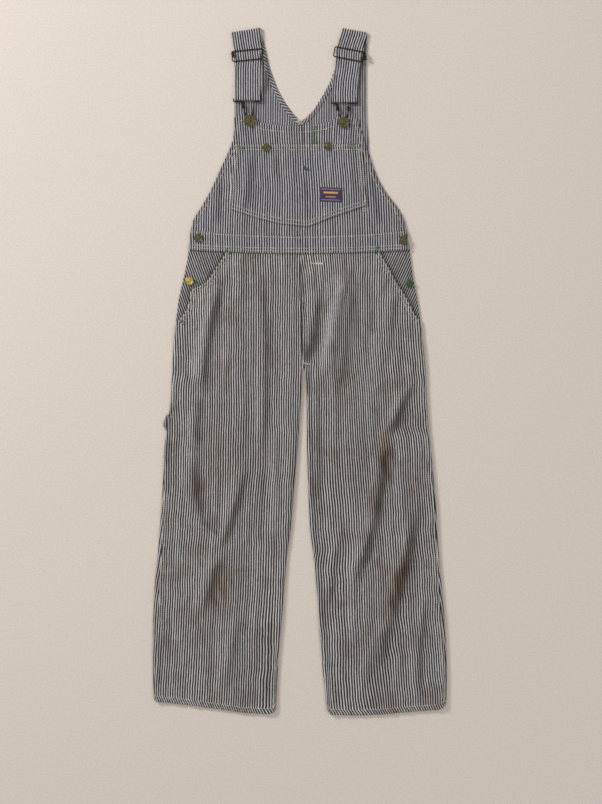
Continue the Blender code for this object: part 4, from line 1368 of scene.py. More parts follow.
def leg_points(side, row, where, across, depth, relief):
    """Points of the leg's tube beside one edge. Across is measured round the roll from the
    edge's middle height, towards the front where positive. Depth 0 is the outer face and
    WALL the inner one, and relief gives the front's height at a place."""
    edge = leg_edge(side, where, row)
    inward = 1 if (where == "outer") == (side == "left") else -1
    share = roll_share(where, row)
    reach = np.abs(across)
    turn = np.minimum(reach / ROLL_ARC, 1) * np.pi / 2
    past = np.maximum(reach - ROLL_ARC, 0)
    flat_x = edge + inward * (ROLL_WIDE * np.minimum(reach / ROLL_ARC, 1) + past)
    round_x = edge + inward * (depth + (ROLL_WIDE - depth) * (1 - np.cos(turn)) + past)
    x = mix(flat_x, round_x, share)
    rolled_top = ROLL_TOP + ROLL_UNEVEN * np.sin(row / ROLL_WAVE + (edge > 0))
    plain = relief(flat_x, row)
    crown = mix(rolled_top, plain, smooth_step(past / ROLL_SETTLE))
    crown = mix(plain, np.maximum(plain, crown), share) - depth
    front = mix(crown, ROLL_MIDDLE + (crown - ROLL_MIDDLE) * np.sin(turn), share)
    back = mix(depth, ROLL_MIDDLE - (ROLL_MIDDLE - depth) * np.sin(turn), share)
    return stack(x, hem_y(x, row), np.where(across >= 0, front, back))


def front_start(side, rows):
    """Where the front begins on the roll: at the outseam, or at the pocket's edge above it."""
    seam = np.where(rows < VENT_END, read(OUTSEAM_WRAP, side, rows), 0.0) + HALF_GAP
    cut = np.abs(read(POCKET_EDGE, side, rows) - leg_edge(side, "outer", rows))
    pocket = cut + ROLL_ARC - ROLL_WIDE
    return np.where((rows >= VENT_END) & (cut > ROLL_WIDE), pocket, seam)


def leg_rows(step):
    step_edge = HEM + HEM_DEPTH
    above = spread(LEG_TOP, step_edge + 0.6, step)[:-2]
    return np.concatenate([above, [step_edge + 0.6], spread(step_edge, HEM, 2.2)[:, None].ravel()])


def leg_front(side, materials):
    rows = leg_rows(FINE)[:, None]
    start = front_start(side, rows)
    width = np.abs(leg_edge(side, "inner", rows) - leg_edge(side, "outer", rows))
    near = start + ROLL_ARC * np.linspace(0, 1, ROLL_STEPS + 1)
    far = HALF_GAP + ROLL_ARC * np.linspace(1, 0, ROLL_STEPS + 1) + 0 * rows
    first = near[:, -1:] - ROLL_ARC + ROLL_WIDE
    last = width - ROLL_WIDE - HALF_GAP
    inset = mix(first, last, np.linspace(0, 1, FRONT_COLUMNS + 1)[1:-1])
    from_outer = np.concatenate([near, inset - ROLL_WIDE + ROLL_ARC, far], axis=1)
    from_inner = np.concatenate([near, width - inset - ROLL_WIDE + ROLL_ARC, far], axis=1)
    column_number = np.arange(from_outer.shape[1])[None]
    middle = np.concatenate([near * 0, inset, far * 0 + width], axis=1)
    by_inner = (middle >= width / 2) & (column_number > ROLL_STEPS)
    inward = 1 if side == "left" else -1
    edge_outer = leg_edge(side, "outer", rows) + inward * (start - ROLL_ARC + ROLL_WIDE)

    def relief(x, y):
        return leg_relief(side, x, y) + seam_relief(side, x, y, edge_outer)

    faces = []
    for depth in (0.0, WALL):
        outer = leg_points(side, rows, "outer", from_outer, depth, relief)
        inner = leg_points(side, rows, "inner", from_inner, depth, relief)
        faces.append(np.where(by_inner[..., None], inner, outer))
    over, under = faces
    lift = hem_relief(over[..., 0], over[..., 1], rows)
    over[..., 2] += lift
    under[..., 2] += np.maximum(lift - HEM_STEP, -0.2) * 0.6
    u = over[:, over.shape[1] // 2, 0][:, None] + inward * arc_along_rows(over)
    u = u - grain_shift(side, over[..., 0], rows)
    u = u + cloth_wander(over[..., 0], rows) + hem_slant(rows)
    masks = masks_at(over[..., 0], over[..., 1])
    return grid_shell(f"{side}_leg_front_cloth", over, under, (u, rows), materials, masks)


def hem_slant(rows):
    """Stripes lean over in the hem, which is turned up and twisted by washing."""
    return 0.5 * np.minimum(rows - HEM - HEM_DEPTH, 0)


def cloth_wander(x, y):
    return 1.3 * waves(x, y, 120, 150, 41) + 0.35 * waves(x, y, 26, 34, 42)


def line_at(line, y):
    """x of a bowed line at each height, and the share of the way along it."""
    x0, y0, x1, y1, x2, y2 = line
    along = np.clip((y0 - y) / (y0 - y2), 0, 1)
    middle = (y0 - y1) / (y0 - y2)
    bow = (x1 - mix(x0, x2, middle)) / (middle * (1 - middle))
    return mix(x0, x2, along) + bow * along * (1 - along), along


def grain_shift(side, x, y):
    shift = read(GRAIN, side, y)
    if side == "right":
        share = smooth_step((x - GRAIN_INNER) / (GRAIN_MIDDLE - GRAIN_INNER))
        shift = mix(read(GRAIN, "right_inner", y), shift, share)
    shift = shift + 0 * x
    for row in TUCKS:
        tuck = dict(zip(TUCK_COLUMNS, row))
        if (tuck["x1"] < 0) != (side == "left"):
            continue
        line, along = line_at(row[:6], y)
        shift = shift + tuck["takes"] * along * smooth_step((x - line) / tuck["wide"] + 0.5)
    return shift


def leg_back(side, materials):
    rows = leg_rows(BACK_FINE)[:, None]
    wrap = np.where(rows < VENT_END, read(OUTSEAM_WRAP, side, rows), 0.0)
    width = np.abs(leg_edge(side, "inner", rows) - leg_edge(side, "outer", rows))
    near = mix(wrap - HALF_GAP, -ROLL_ARC - HALF_GAP, np.linspace(0, 1, BACK_SEAM_STEPS + 1))
    far = -(HALF_GAP + ROLL_ARC * np.linspace(1, 0, ROLL_STEPS + 1)) + 0 * rows
    inset = mix(ROLL_WIDE, width - ROLL_WIDE, np.linspace(0, 1, BACK_COLUMNS + 1)[1:-1])
    middle = -(inset - ROLL_WIDE + ROLL_ARC)
    across_outer = np.concatenate([near, middle, far], axis=1)
    across_inner = np.concatenate([near, middle, far], axis=1)
    by_inner = np.arange(across_outer.shape[1])[None] >= near.shape[1] + middle.shape[1]

    def relief(x, y):
        return FRONT_TOP + 0 * x * y

    faces = []
    for depth in (0.0, WALL):
        outer = leg_points(side, rows, "outer", across_outer, depth, relief)
        inner = leg_points(side, rows, "inner", across_inner, depth, relief)
        faces.append(np.where(by_inner[..., None], inner, outer))
    over, under = faces
    flat = over[..., 2] < 0.5
    crease = 0.22 * fold_height(LEG_FOLDS, over[..., 0] + 12, over[..., 1])
    crease += 0.3 * fold_height(LEG_CREASES, over[..., 0] - 9, over[..., 1])
    crease += 0.25 * np.maximum(waves(over[..., 0], over[..., 1], 30, 90, 51), 0)
    over[..., 2] += np.where(flat, np.clip(crease, 0, 0.85), 0)
    inward = 1 if side == "left" else -1
    u = over[:, over.shape[1] // 2, 0][:, None] + inward * arc_along_rows(over)
    u = u + cloth_wander(over[..., 0], rows + 500)
    masks = masks_at(over[..., 0], over[..., 1], 0.7)
    return grid_shell(f"{side}_leg_back_cloth", over, under, (u, rows), materials, masks)


def pocket_facing(side, materials):
    """The cloth behind each slant pocket and down the side vent."""
    rows = spread(LEG_TOP, VENT_END, FINE)[:, None]
    toward = 1 if side == "left" else -1
    start = leg_edge(side, "outer", rows) + toward * HALF_GAP
    end = read(FACING_EDGE, side, rows)
    x = mix(start, end, spread(0, 1, 1 / FACING_COLUMNS, 0.012)[None])
    puckers = 0.12 * waves(x, rows, 16, 20, 61)
    over = stack(x, rows, FACING_TOP + np.minimum(puckers, 0.1))
    under = stack(x, rows, FRONT_UNDER)
    u = x + FACING_LEANS[side] * rows
    masks = masks_at(x, rows + 0 * x)
    # Painted shade where the facing goes in under the front's edge
    masks["shade_and_grime"] = np.maximum(masks["shade_and_grime"], pocket_mouth_shade(side, x, rows))
    return grid_shell(f"{side}_facing_cloth", over, under, (u, rows), materials, masks)


def pocket_mouth_shade(side, x, y):
    """Painted shade where the facing goes in under the front's edge."""
    edge = read(POCKET_EDGE, side, y)
    away = (edge - x) if side == "left" else (x - edge)
    return np.clip(np.exp(-np.maximum(away, 0) / 7), 0, 1)


# Bib, its pocket and the waistband


def inside_pocket(x, y):
    """1 where the bib lies under its pocket, 0 away from it."""
    left, right = read(POCKET_SIDES, "left", y), read(POCKET_SIDES, "right", y)
    low = read_straight(POCKET_LOW_EDGE, "y", x)
    inward = np.minimum(np.minimum(x - left, right - x), np.minimum(y - low, POCKET_TOP - y))
    return smooth_step((inward + 5) / 5)


def bib_lean(x, y):
    share = smooth_step((x + BIB_LEAN_REACH) / (2 * BIB_LEAN_REACH))
    return mix(read(BIB_LEAN, "left", y), read(BIB_LEAN, "right", y), share)


def edge_hem(away, wide=8.0, rise=0.45):
    """A folded edge: double cloth that stands a little higher for its width."""
    return rise * smooth_step((wide - away) / 1.5 + 0.5)


def bib(materials):
    share = spread(0, 1, 0.0125, 0.004)[None]
    up = spread(0, 1, 0.0145, 0.004)[:, None]
    top_x = mix(BIB_TOP["rows"][0][0], BIB_TOP["rows"][-1][0], share)
    y = mix(BIB_BOTTOM, read(BIB_TOP, "y", top_x), up)
    left, right = read(BIB_EDGES, "left", y), read(BIB_EDGES, "right", y)
    x = mix(left, right, share)
    from_top = read(BIB_TOP, "y", top_x) - y
    from_side = np.minimum(x - left, right - x)
    plain = inside_pocket(x, y)
    rise = CREASE_GAIN * (fold_height(BIB_FOLDS, x, y) + fold_height(BIB_CREASES, x, y))
    rise += 0.35 * waves(x, y, 26, 60, 71) + 0.2 * waves(x, y, 11, 24, 72)
    rise += seam_puckers(y, from_side, 73, 0.3, 12.0, 9.0)
    rise += seam_puckers(x, from_top - 8, 74, 0.35, 14.0, 9.0)
    rise += edge_hem(from_top, 14.0, 0.5) + edge_hem(from_side, 9.0)
    rise = np.maximum(rise, -0.2) * (1 - plain)
    over = stack(x, y, FRONT_TOP + rise)
    under = stack(x, y, FRONT_UNDER + np.maximum(rise, 0) * 0.8)
    u = x - bib_lean(x, y) + 0.6 * cloth_wander(x, y)
    masks = masks_at(x, y)
    # Darker within a few millimetres of the bib's side edges
    masks["shade_and_grime"] = np.maximum(masks["shade_and_grime"], 0.35 * np.exp(-np.maximum(from_side, 0) / 6))
    return grid_shell("bib_cloth", over, under, (u, y), materials, masks)


def bib_pocket(materials):
    share = spread(0, 1, 0.0125, 0.004)[None]
    down = spread(0, 1, 0.022, 0.006)[:, None]
    ends = (POCKET_LOW_EDGE["rows"][0][0], POCKET_LOW_EDGE["rows"][-1][0])
    low = read_straight(POCKET_LOW_EDGE, "y", mix(*ends, share))
    y = mix(POCKET_TOP, low, down)
    left, right = read(POCKET_SIDES, "left", y), read(POCKET_SIDES, "right", y)
    x = mix(left, right, share)
    from_top, from_low = POCKET_TOP - y, y - low
    from_side = np.minimum(x - left, right - x)
    rise = CREASE_GAIN * (fold_height(POCKET_FOLDS, x, y) + fold_height(POCKET_CREASES, x, y))
    rise += 0.35 * waves(x, y, 24, 50, 81) + 0.2 * waves(x, y, 10, 22, 82)
    rise += seam_puckers(y, from_side, 83, 0.3, 11.0, 9.0)
    rise += seam_puckers(x, from_low, 84, 0.35, 12.0, 10.0)
    rise += seam_puckers(x, from_top - 12, 85, 0.3, 13.0, 7.0)
    rise = np.maximum(rise, 0) + edge_hem(from_top, 13.0, 0.55)
    rise += edge_hem(np.minimum(from_side, from_low), 7.0, 0.4)
    settle = smooth_step(np.minimum(from_side, from_low) / 9)
    over = stack(x, y, OVERLAY_TOP + mix(0.55 * rise, rise, settle))
    under = stack(x, y, OVERLAY_UNDER + np.maximum(rise - 0.6, 0) * settle)
    u = x - bib_lean(x, y) + 0.8 * cloth_wander(x, y + 90)
    masks = masks_at(x, y)
    return grid_shell("bib_pocket_cloth", over, under, (u, y), materials, masks)


def band_edges(x):
    """Top and bottom of the waistband, which sag towards the middle."""
    sag = 1 - (x / BAND_HALF) ** 2
    return BAND_TOP - BAND_TOP_SAG * sag, BAND_BOTTOM - BAND_BOTTOM_SAG * sag


def waistband(materials):
    down = spread(0, 1, 0.07, 0.02)[:, None]
    share = spread(0, 1, 0.0075, 0.002)[None]
    level = mix(BAND_TOP, BAND_BOTTOM, down)
    x = mix(read(BIB_EDGES, "left", level), read(BIB_EDGES, "right", level), share)
    top, bottom = band_edges(x)
    y = mix(top, bottom, down)
    rise = fold_height(BAND_FOLDS, x, y) + 0.3 * waves(x, y, 22, 40, 91)
    rise += seam_puckers(x, top - y, 92, 0.35, 12.0, 8.0)
    rise += seam_puckers(x, y - bottom, 93, 0.4, 13.0, 9.0)
    rise = np.maximum(rise, 0) + edge_hem(y - bottom, 8.0, 0.35)
    over = stack(x, y, OVERLAY_TOP + rise)
    under = stack(x, y, OVERLAY_UNDER)
    u = x - bib_lean(x, y) + 0.6 * cloth_wander(x, y + 60)
    return grid_shell("waistband_cloth", over, under, (u, y), materials, masks_at(x, y))


# Vest back and the binding of its neck


def neck_line(inset):
    """The neck's edge moved into the cloth by inset."""
    points = [Vector(p) for p in NECK_EDGE["rows"]]
    line = []
    for i, point in enumerate(points):
        before = points[max(i - 1, 0)]
        after = points[min(i + 1, len(points) - 1)]
        along = (after - before).normalized()
        outward = Vector((along.y, -along.x))
        into = (point - before).normalized() if i else along
        corner = max(outward.dot(Vector((into.y, -into.x))), MOST_MITRE)
        moved = point + outward * inset / corner
        line.append((moved.x, point.y if i in (0, len(points) - 1) else moved.y))
    return np.array(line)


def vest_back(materials):
    """Two grids that share the line below the point of the V. Its pale inside shows above."""
    neck = neck_line(BINDING_WIDE + SEAM_GAP)
    point = neck[:, 1].argmin()
    bottom = VEST_EDGES["rows"][-1][0]
    below = spread(bottom, neck[point, 1], 6.0)[:-2]
    above = np.concatenate([[neck[point, 1]], spread(neck[point, 1], SHOULDER, 4.4)[2:]])
    rows = np.concatenate([below, above])
    halves = []
    for side, part in (("left", neck[point::-1]), ("right", neck[point:])):
        inner = np.interp(rows, part[:, 1], part[:, 0], left=neck[point, 0])
        outer = read(VEST_EDGES, side, rows)
        x = mix(outer[:, None], inner[:, None], spread(0, 1, 0.034, 0.006)[None])
        halves.append(x if side == "left" else x[:, ::-1])
    shared = len(below) + 1
    x = np.concatenate(halves, axis=1)
    y = rows[:, None] + 0 * x
    columns = halves[0].shape[1]
    index = np.arange(x.size).reshape(x.shape)
    joined = index.copy()
    joined[:shared, columns] = index[:shared, columns - 1]
    quads = np.concatenate([grid_quads(index[:, :columns]), grid_quads(joined[:, columns:])])
    used, quads = np.unique(quads, return_inverse=True)
    x, y = x.ravel()[used], y.ravel()[used]
    shown = smooth_step((y - 496) / 20)
    rise = fold_height(VEST_CREASES, x, y) + 0.12 * waves(x, y, 14, 40, 95)
    edge = np.minimum(x - read(VEST_EDGES, "left", y), read(VEST_EDGES, "right", y) - x)
    rise = np.maximum(rise, 0) * shown + 0.22 * shown * edge_hem(edge, 7.0, 1.0)
    over = stack(x, y, BACK_TOP + np.minimum(rise, 0.28))
    under = stack(x, y, 0.0)
    uv = np.stack([x + 0.5 * cloth_wander(x, y), y], axis=-1)
    masks = masks_at(x, y)
    return cloth_shell("vest_back_cloth", over, under, quads.reshape(-1, 4), uv, materials, masks)


def neck_length():
    middle = (neck_line(0.0) + neck_line(BINDING_WIDE)) / 2
    return float(np.linalg.norm(np.diff(middle, axis=0), axis=1).sum())


def neck_binding(materials):
    edge, inside = neck_line(0.0), neck_line(BINDING_WIDE)
    middle = (edge + inside) / 2
    steps = np.linalg.norm(np.diff(middle, axis=0), axis=1)
    run = np.concatenate([[0], np.cumsum(steps)])
    along = np.union1d(spread(0, run[-1], 3.0), run)
    lines = [
        np.stack([np.interp(along, run, line[:, 0]), np.interp(along, run, line[:, 1])], axis=-1)
        for line in (edge, inside)
    ]
    across = spread(0, 1, 0.12, 0.05)
    flat = mix(lines[0][:, None], lines[1][:, None], across[None, :, None])
    puff = BINDING_PUFF * np.sin(np.pi * across)[None] ** 0.6
    ripple = 0.25 * np.sin(2 * np.pi * along / 9 + waves(along, 0 * along, 60, 60, 97) * 2)
    top = BACK_TOP + puff * (1 + ripple[:, None])
    over = stack(flat[..., 0], flat[..., 1], top)
    under = stack(flat[..., 0], flat[..., 1], 0.0)
    turn = math.radians(BINDING_GRAIN)
    u = along[:, None] * math.sin(turn) + across[None] * BINDING_WIDE * math.cos(turn)
    v = along[:, None] * math.cos(turn) - across[None] * BINDING_WIDE * math.sin(turn)
    masks = masks_at(flat[..., 0], flat[..., 1])
    return grid_shell("neck_binding_cloth", over, under, (u, v), materials, masks)


def tool_loop(materials):
    """The corner of the tool loop that looks out from behind the left leg."""
    heights = np.array(TOOL_LOOP["heights"], float)
    y = spread(heights[0], heights[-1], 2.0)[:, None]
    edge = leg_edge("left", "outer", y) - 2 * HALF_GAP
    reach = np.interp(-y, -heights, TOOL_LOOP["reach"])
    x = mix(edge - reach, edge, spread(0, 1, 0.25, 0.1)[None])
    low = TOOL_LOOP["low"]
    over = stack(x, y, low + 2 * WALL)
    under = stack(x, y, low)
    return grid_shell("tool_loop_cloth", over, under, (x, y + 0 * x), materials, masks_at(x, y))


def label(material):
    wide, high = LABEL_SIZE
    turn = math.radians(LABEL_TURN)
    u = spread(-wide / 2, wide / 2, 1.5, 0.4)[None]
    v = spread(-high / 2, high / 2, 1.5, 0.4)[:, None]
    x = LABEL_CENTRE[0] + u * math.cos(turn) - v * math.sin(turn)
    y = LABEL_CENTRE[1] + u * math.sin(turn) + v * math.cos(turn)
    low = OVERLAY_TOP + SEAM_GAP
    sewn = np.minimum(np.minimum(u + wide / 2, wide / 2 - u), np.minimum(v + high / 2, high / 2 - v))
    rise = 0.35 * smooth_step((sewn - 2) / 4) + 0.3 * waves(x, y, 17, 20, 99)
    under = low + np.maximum(fold_height(POCKET_FOLDS, x, y), 0)
    over = stack(x, y, under + LABEL_WALL + np.maximum(rise, 0))
    return grid_shell(
        "label_cloth", over, stack(x, y, under), (u + wide / 2, v + high / 2), [material]
    )


# Straps


def arc_stations(edge, centre_level, radius, steps, rising):
    """Stations round a fold. The edge is the line that the fold reaches furthest to."""
    left, right = Vector(edge[:2]), Vector(edge[2:])
    side = (right - left).normalized()
    ahead = Vector((-side.y, side.x)) * (1 if rising else -1)
    stations = []
    for k in range(steps + 1):
        angle = math.pi * k / steps
        back_off = ahead * (radius * math.sin(angle) - radius)
        level = centre_level - radius * math.cos(angle) * (1 if rising else -1)
        stations.append((left + back_off, right + back_off, level))
    return stations


def strap_stations(strap):
    back_level = WALL / 2
    fold_radius = (STRAP_LEVEL - back_level) / 2
    wrap_radius = LOOP_LEVEL - RETURN_LEVEL
    levels = [STRAP_LEVEL] * 2 + [STRAP_LEVEL, STRAP_OVER_BAR] + [STRAP_LEVEL] * 3
    levels += [mix(STRAP_LEVEL, LOOP_LEVEL + wrap_radius, 0.6), LOOP_LEVEL + wrap_radius]
    stations = [(Vector(e[:2]), Vector(e[2:]), back_level) for e in strap["back"]]
    middle = (back_level + STRAP_LEVEL) / 2
    stations += arc_stations(strap["fold"], middle, fold_radius, STRAP_TURN_STEPS, True)
    stations += [
        (Vector(e[:2]), Vector(e[2:]), level) for e, level in zip(strap["front"], levels)
    ]
    stations += arc_stations(strap["wrap"], LOOP_LEVEL, wrap_radius, STRAP_TURN_STEPS, False)
    end = strap["return_to"]
    stations.append((Vector(end[:2]), Vector(end[2:]), RETURN_LEVEL))
    return stations


def strap_cloth(side, materials):
    stations = strap_stations(STRAPS[side])
    lines = [np.array([(*s[i], s[2]) for s in stations]) for i in (0, 1)]
    middle = (lines[0] + lines[1]) / 2
    run = np.concatenate([[0], np.cumsum(np.linalg.norm(np.diff(middle, axis=0), axis=1))])
    along = np.union1d(spread(0, run[-1], 3.2), run)
    along = along[np.concatenate([[True], np.diff(along) > 0.15])]
    left, right = [
        np.stack([np.interp(along, run, line[:, k]) for k in range(3)], axis=-1) for line in lines
    ]
    across = spread(0, 1, 0.06, 0.014)
    centre = mix(left[:, None], right[:, None], across[None, :, None])
    way = np.gradient(centre, axis=0)
    side_way = np.gradient(centre, axis=1)
    normal = np.cross(side_way, way)
    normal /= np.linalg.norm(normal, axis=2, keepdims=True)
    wide = np.linalg.norm(right - left, axis=1)[:, None]
    from_side = np.minimum(across, 1 - across)[None] * wide
    hem = 0.25 * edge_hem(from_side, 4.5, 1.0)
    soft = 0.14 * waves(across[None] * wide, along[:, None], 14, 30, 101)
    half = STRAP_WALL / 2
    over = centre + normal * (half + hem + np.maximum(soft, -0.1))[..., None]
    under = centre - normal * half
    u = across[None] * wide + STRAP_STRIPE_START[side]
    masks = masks_at(centre[..., 0], centre[..., 1], 0.6)
    return grid_shell(f"{side}_strap_cloth", over, under, (u, along[:, None]), materials, masks)


# Wire and buttons


def rounded(points, radius, closed=False, steps=6):
    """A path through the points with each corner turned as an arc."""
    path = []
    count = len(points)
    for i, corner in enumerate(points):
        corner = Vector(corner)
        if not closed and i in (0, count - 1):
            path.append(corner)
            continue
        before, after = Vector(points[i - 1]), Vector(points[(i + 1) % count])
        cut = min(radius, (before - corner).length * 0.45, (after - corner).length * 0.45)
        start = corner + (before - corner).normalized() * cut
        end = corner + (after - corner).normalized() * cut
        for k in range(steps + 1):
            t = k / steps
            path.append(start * (1 - t) ** 2 + corner * 2 * t * (1 - t) + end * t**2)
    return path


def winding(start, end, turns, level):
    """Wire wound round a wire that runs from start to end."""
    start, end = Vector(start), Vector(end)
    side = Vector((end.y - start.y, start.x - end.x)).normalized()
    path = []
    count = turns * WINDING_STEPS
    for k in range(count + 1):
        angle = 2 * math.pi * k / WINDING_STEPS
        place = start.lerp(end, k / count) + side * WINDING_REACH * math.sin(angle)
        path.append((place.x, place.y, level + WINDING_REACH * 0.85 * math.cos(angle)))
    return path


def as_mesh(obj):
    """The object with what its curve or modifiers make turned into a plain mesh."""
    seen = obj.evaluated_get(bpy.context.evaluated_depsgraph_get())
    mesh = bpy.data.meshes.new_from_object(seen)
    name, materials = obj.name, [slot.material for slot in obj.material_slots]
    bpy.data.objects.remove(obj, do_unlink=True)
    if not mesh.materials:
        for material in materials:
            mesh.materials.append(material)
    return object_from(name, mesh)


def wire_part(name, path, closed, level, material):
    curve = bpy.data.curves.new(name, "CURVE")
    curve.dimensions = "3D"
    curve.bevel_depth = WIRE * MM
    curve.bevel_resolution = 4
    curve.use_fill_caps = True
    paths = [(path, closed)]
    for start, end, turns in WINDINGS.get(name, ()):
        paths.append((winding(start, end, turns, level), False))
    for points, cyclic in paths:
        spline = curve.splines.new("POLY")
        spline.points.add(len(points) - 1)
        for point, place in zip(spline.points, points):
            point.co = (*(Vector(place) * MM), 1)
        spline.use_cyclic_u = cyclic
    curve.materials.append(material)
    piece = as_mesh(object_from(f"{name}_wire", curve))
    piece.data.shade_smooth()
    return dress(piece, [name])


def slider(side, material):
    """One bent wire: a hidden bar under the strap and a bar above it at each end."""
    wide, high = SLIDERS[side]["half"]
    turn = math.radians(SLIDERS[side]["turn"])
    bar, low = SLIDER_BAR_LEVEL, SLIDER_MIDDLE_LEVEL
    local = (
        (-wide + SLIDER_ENDS, 0, low),
        (wide, 0, low),
        (wide, high, bar),
        (-wide, high, bar),
        (-wide - SLIDER_LOBE, high / 2, bar),
        (-wide, 0, bar),
        (-wide - SLIDER_LOBE, -high / 2, bar),
        (-wide, -high, bar),
        (wide, -high, bar),
        (wide, -SLIDER_ENDS, bar),
    )
    path = []
    for u, v, z in local:
        x = SLIDERS[side]["centre"][0] + u * math.cos(turn) - v * math.sin(turn)
        y = SLIDERS[side]["centre"][1] + u * math.sin(turn) + v * math.cos(turn)
        path.append((x, y, z))
    return wire_part(f"{side}_slider", rounded(path, WIRE_BEND), False, bar, material)


def strap_loop(side, material):
    """A bar in the fold of the strap, and a keyhole that hangs on the button's post."""
    left, strap_y, right, _ = STRAPS[side]["wrap"]
    x, y = STRAP_BUTTONS[side]
    neck_left, neck_right = LOOP_NECKS[side]
    ring = STRAP_BUTTON * POST_SHARE + LOOP_POST_CLEAR + WIRE
    bar_y = strap_y + LOOP_LEVEL - RETURN_LEVEL + STRAP_WALL / 2
    low_y = bar_y - LOOP_BAR_DROP
    outline = [
        (left - LOOP_SIDE_CLEAR, bar_y),
        (left - LOOP_SIDE_CLEAR, low_y),
        (x + neck_left, low_y),
        (x + neck_left * LOOP_NECK_TAPER, low_y - LOOP_NECK_DROP),
    ]
    for k in range(LOOP_RING_STEPS + 1):
        angle = math.radians(LOOP_RING_START + LOOP_RING_TURN * k / LOOP_RING_STEPS)
        outline.append((x + ring * math.cos(angle), y + ring * math.sin(angle)))
    outline += [
        (x + neck_right * LOOP_NECK_TAPER, low_y - LOOP_NECK_DROP),
        (x + neck_right, low_y),
        (right + LOOP_SIDE_CLEAR, low_y),
        (right + LOOP_SIDE_CLEAR, bar_y),
    ]
    path = rounded([(px, py, LOOP_LEVEL) for px, py in outline], WIRE_BEND, closed=True)
    return wire_part(f"{side}_strap_loop", path, True, LOOP_LEVEL, material)


def turned(name, profile, centre, half, material, segments=40):
    """A solid turned from a profile of (share of half, level), closed at both ends."""
    angles = np.linspace(0, 2 * np.pi, segments, endpoint=False)
    rings = [
        stack(centre[0] + half * share * np.cos(angles), centre[1] + half * share * np.sin(angles), z)
        for share, z in profile
    ]
    points = np.concatenate(rings) * MM
    faces = []
    for i in range(len(profile) - 1):
        for k in range(segments):
            n = (k + 1) % segments
            a, b = i * segments, (i + 1) * segments
            faces.append((a + k, a + n, b + n, b + k))
    top = (len(profile) - 1) * segments
    faces += [tuple(range(segments - 1, -1, -1)), tuple(range(top, top + segments))]
    mesh = bpy.data.meshes.new(name)
    mesh.from_pydata(points.tolist(), [], faces)
    mesh.materials.append(material)
    mesh.shade_smooth()
    mesh.set_sharp_from_angle(angle=math.radians(60))
    return object_from(name, mesh)


def button(name, centre, size, base, stem, finish):
    """A tack button: a short post, a rolled rim and a dished face with a small boss."""
    profile = [(2 * POST_SHARE, base)]
    profile += [(share, base + stem + level) for share, level in BUTTON_PROFILE]
    profile.append((0.05, base + stem + BUTTON_PROFILE[-1][1] + 0.03))
    piece = turned(f"{name}_cap", profile, centre, size / 2, FINISHES[finish])
    return dress(piece, [name])


def wound_button(name, centre, size, base, stem, finish):
    """A button hidden under thread that is wound over it in rings."""
    levels = [BUTTON_PROFILE[0], *BUTTON_PROFILE[2:6]]
    profile = [(2 * POST_SHARE, base)]
    profile += [(share * 0.9, base + stem + level) for share, level in levels]
    steps = 22
    for k in range(steps):
        share = 0.88 * (1 - k / steps)
        dome = 2.0 + 1.0 * math.cos(share * math.pi / 2)
        profile.append((max(share, 0.03), base + stem + dome + 0.22 * (k % 2)))
    piece = turned(f"{name}_cap", profile, centre, size / 2, FINISHES[finish])
    return dress(piece, [name])


def buttons():
    on_front = FRONT_TOP + SEAM_GAP
    stem = LOOP_LEVEL + WIRE + SEAM_GAP - on_front
    for side, centre in STRAP_BUTTONS.items():
        button(f"{side}_strap_button", centre, STRAP_BUTTON, on_front, stem, "brass")
    for name, x, y, size, post, under, finish in SMALL_BUTTONS:
        make = wound_button if finish == "wound thread" else button
        make(name, (x, y), size, under + SEAM_GAP, post, finish)


# Sewing


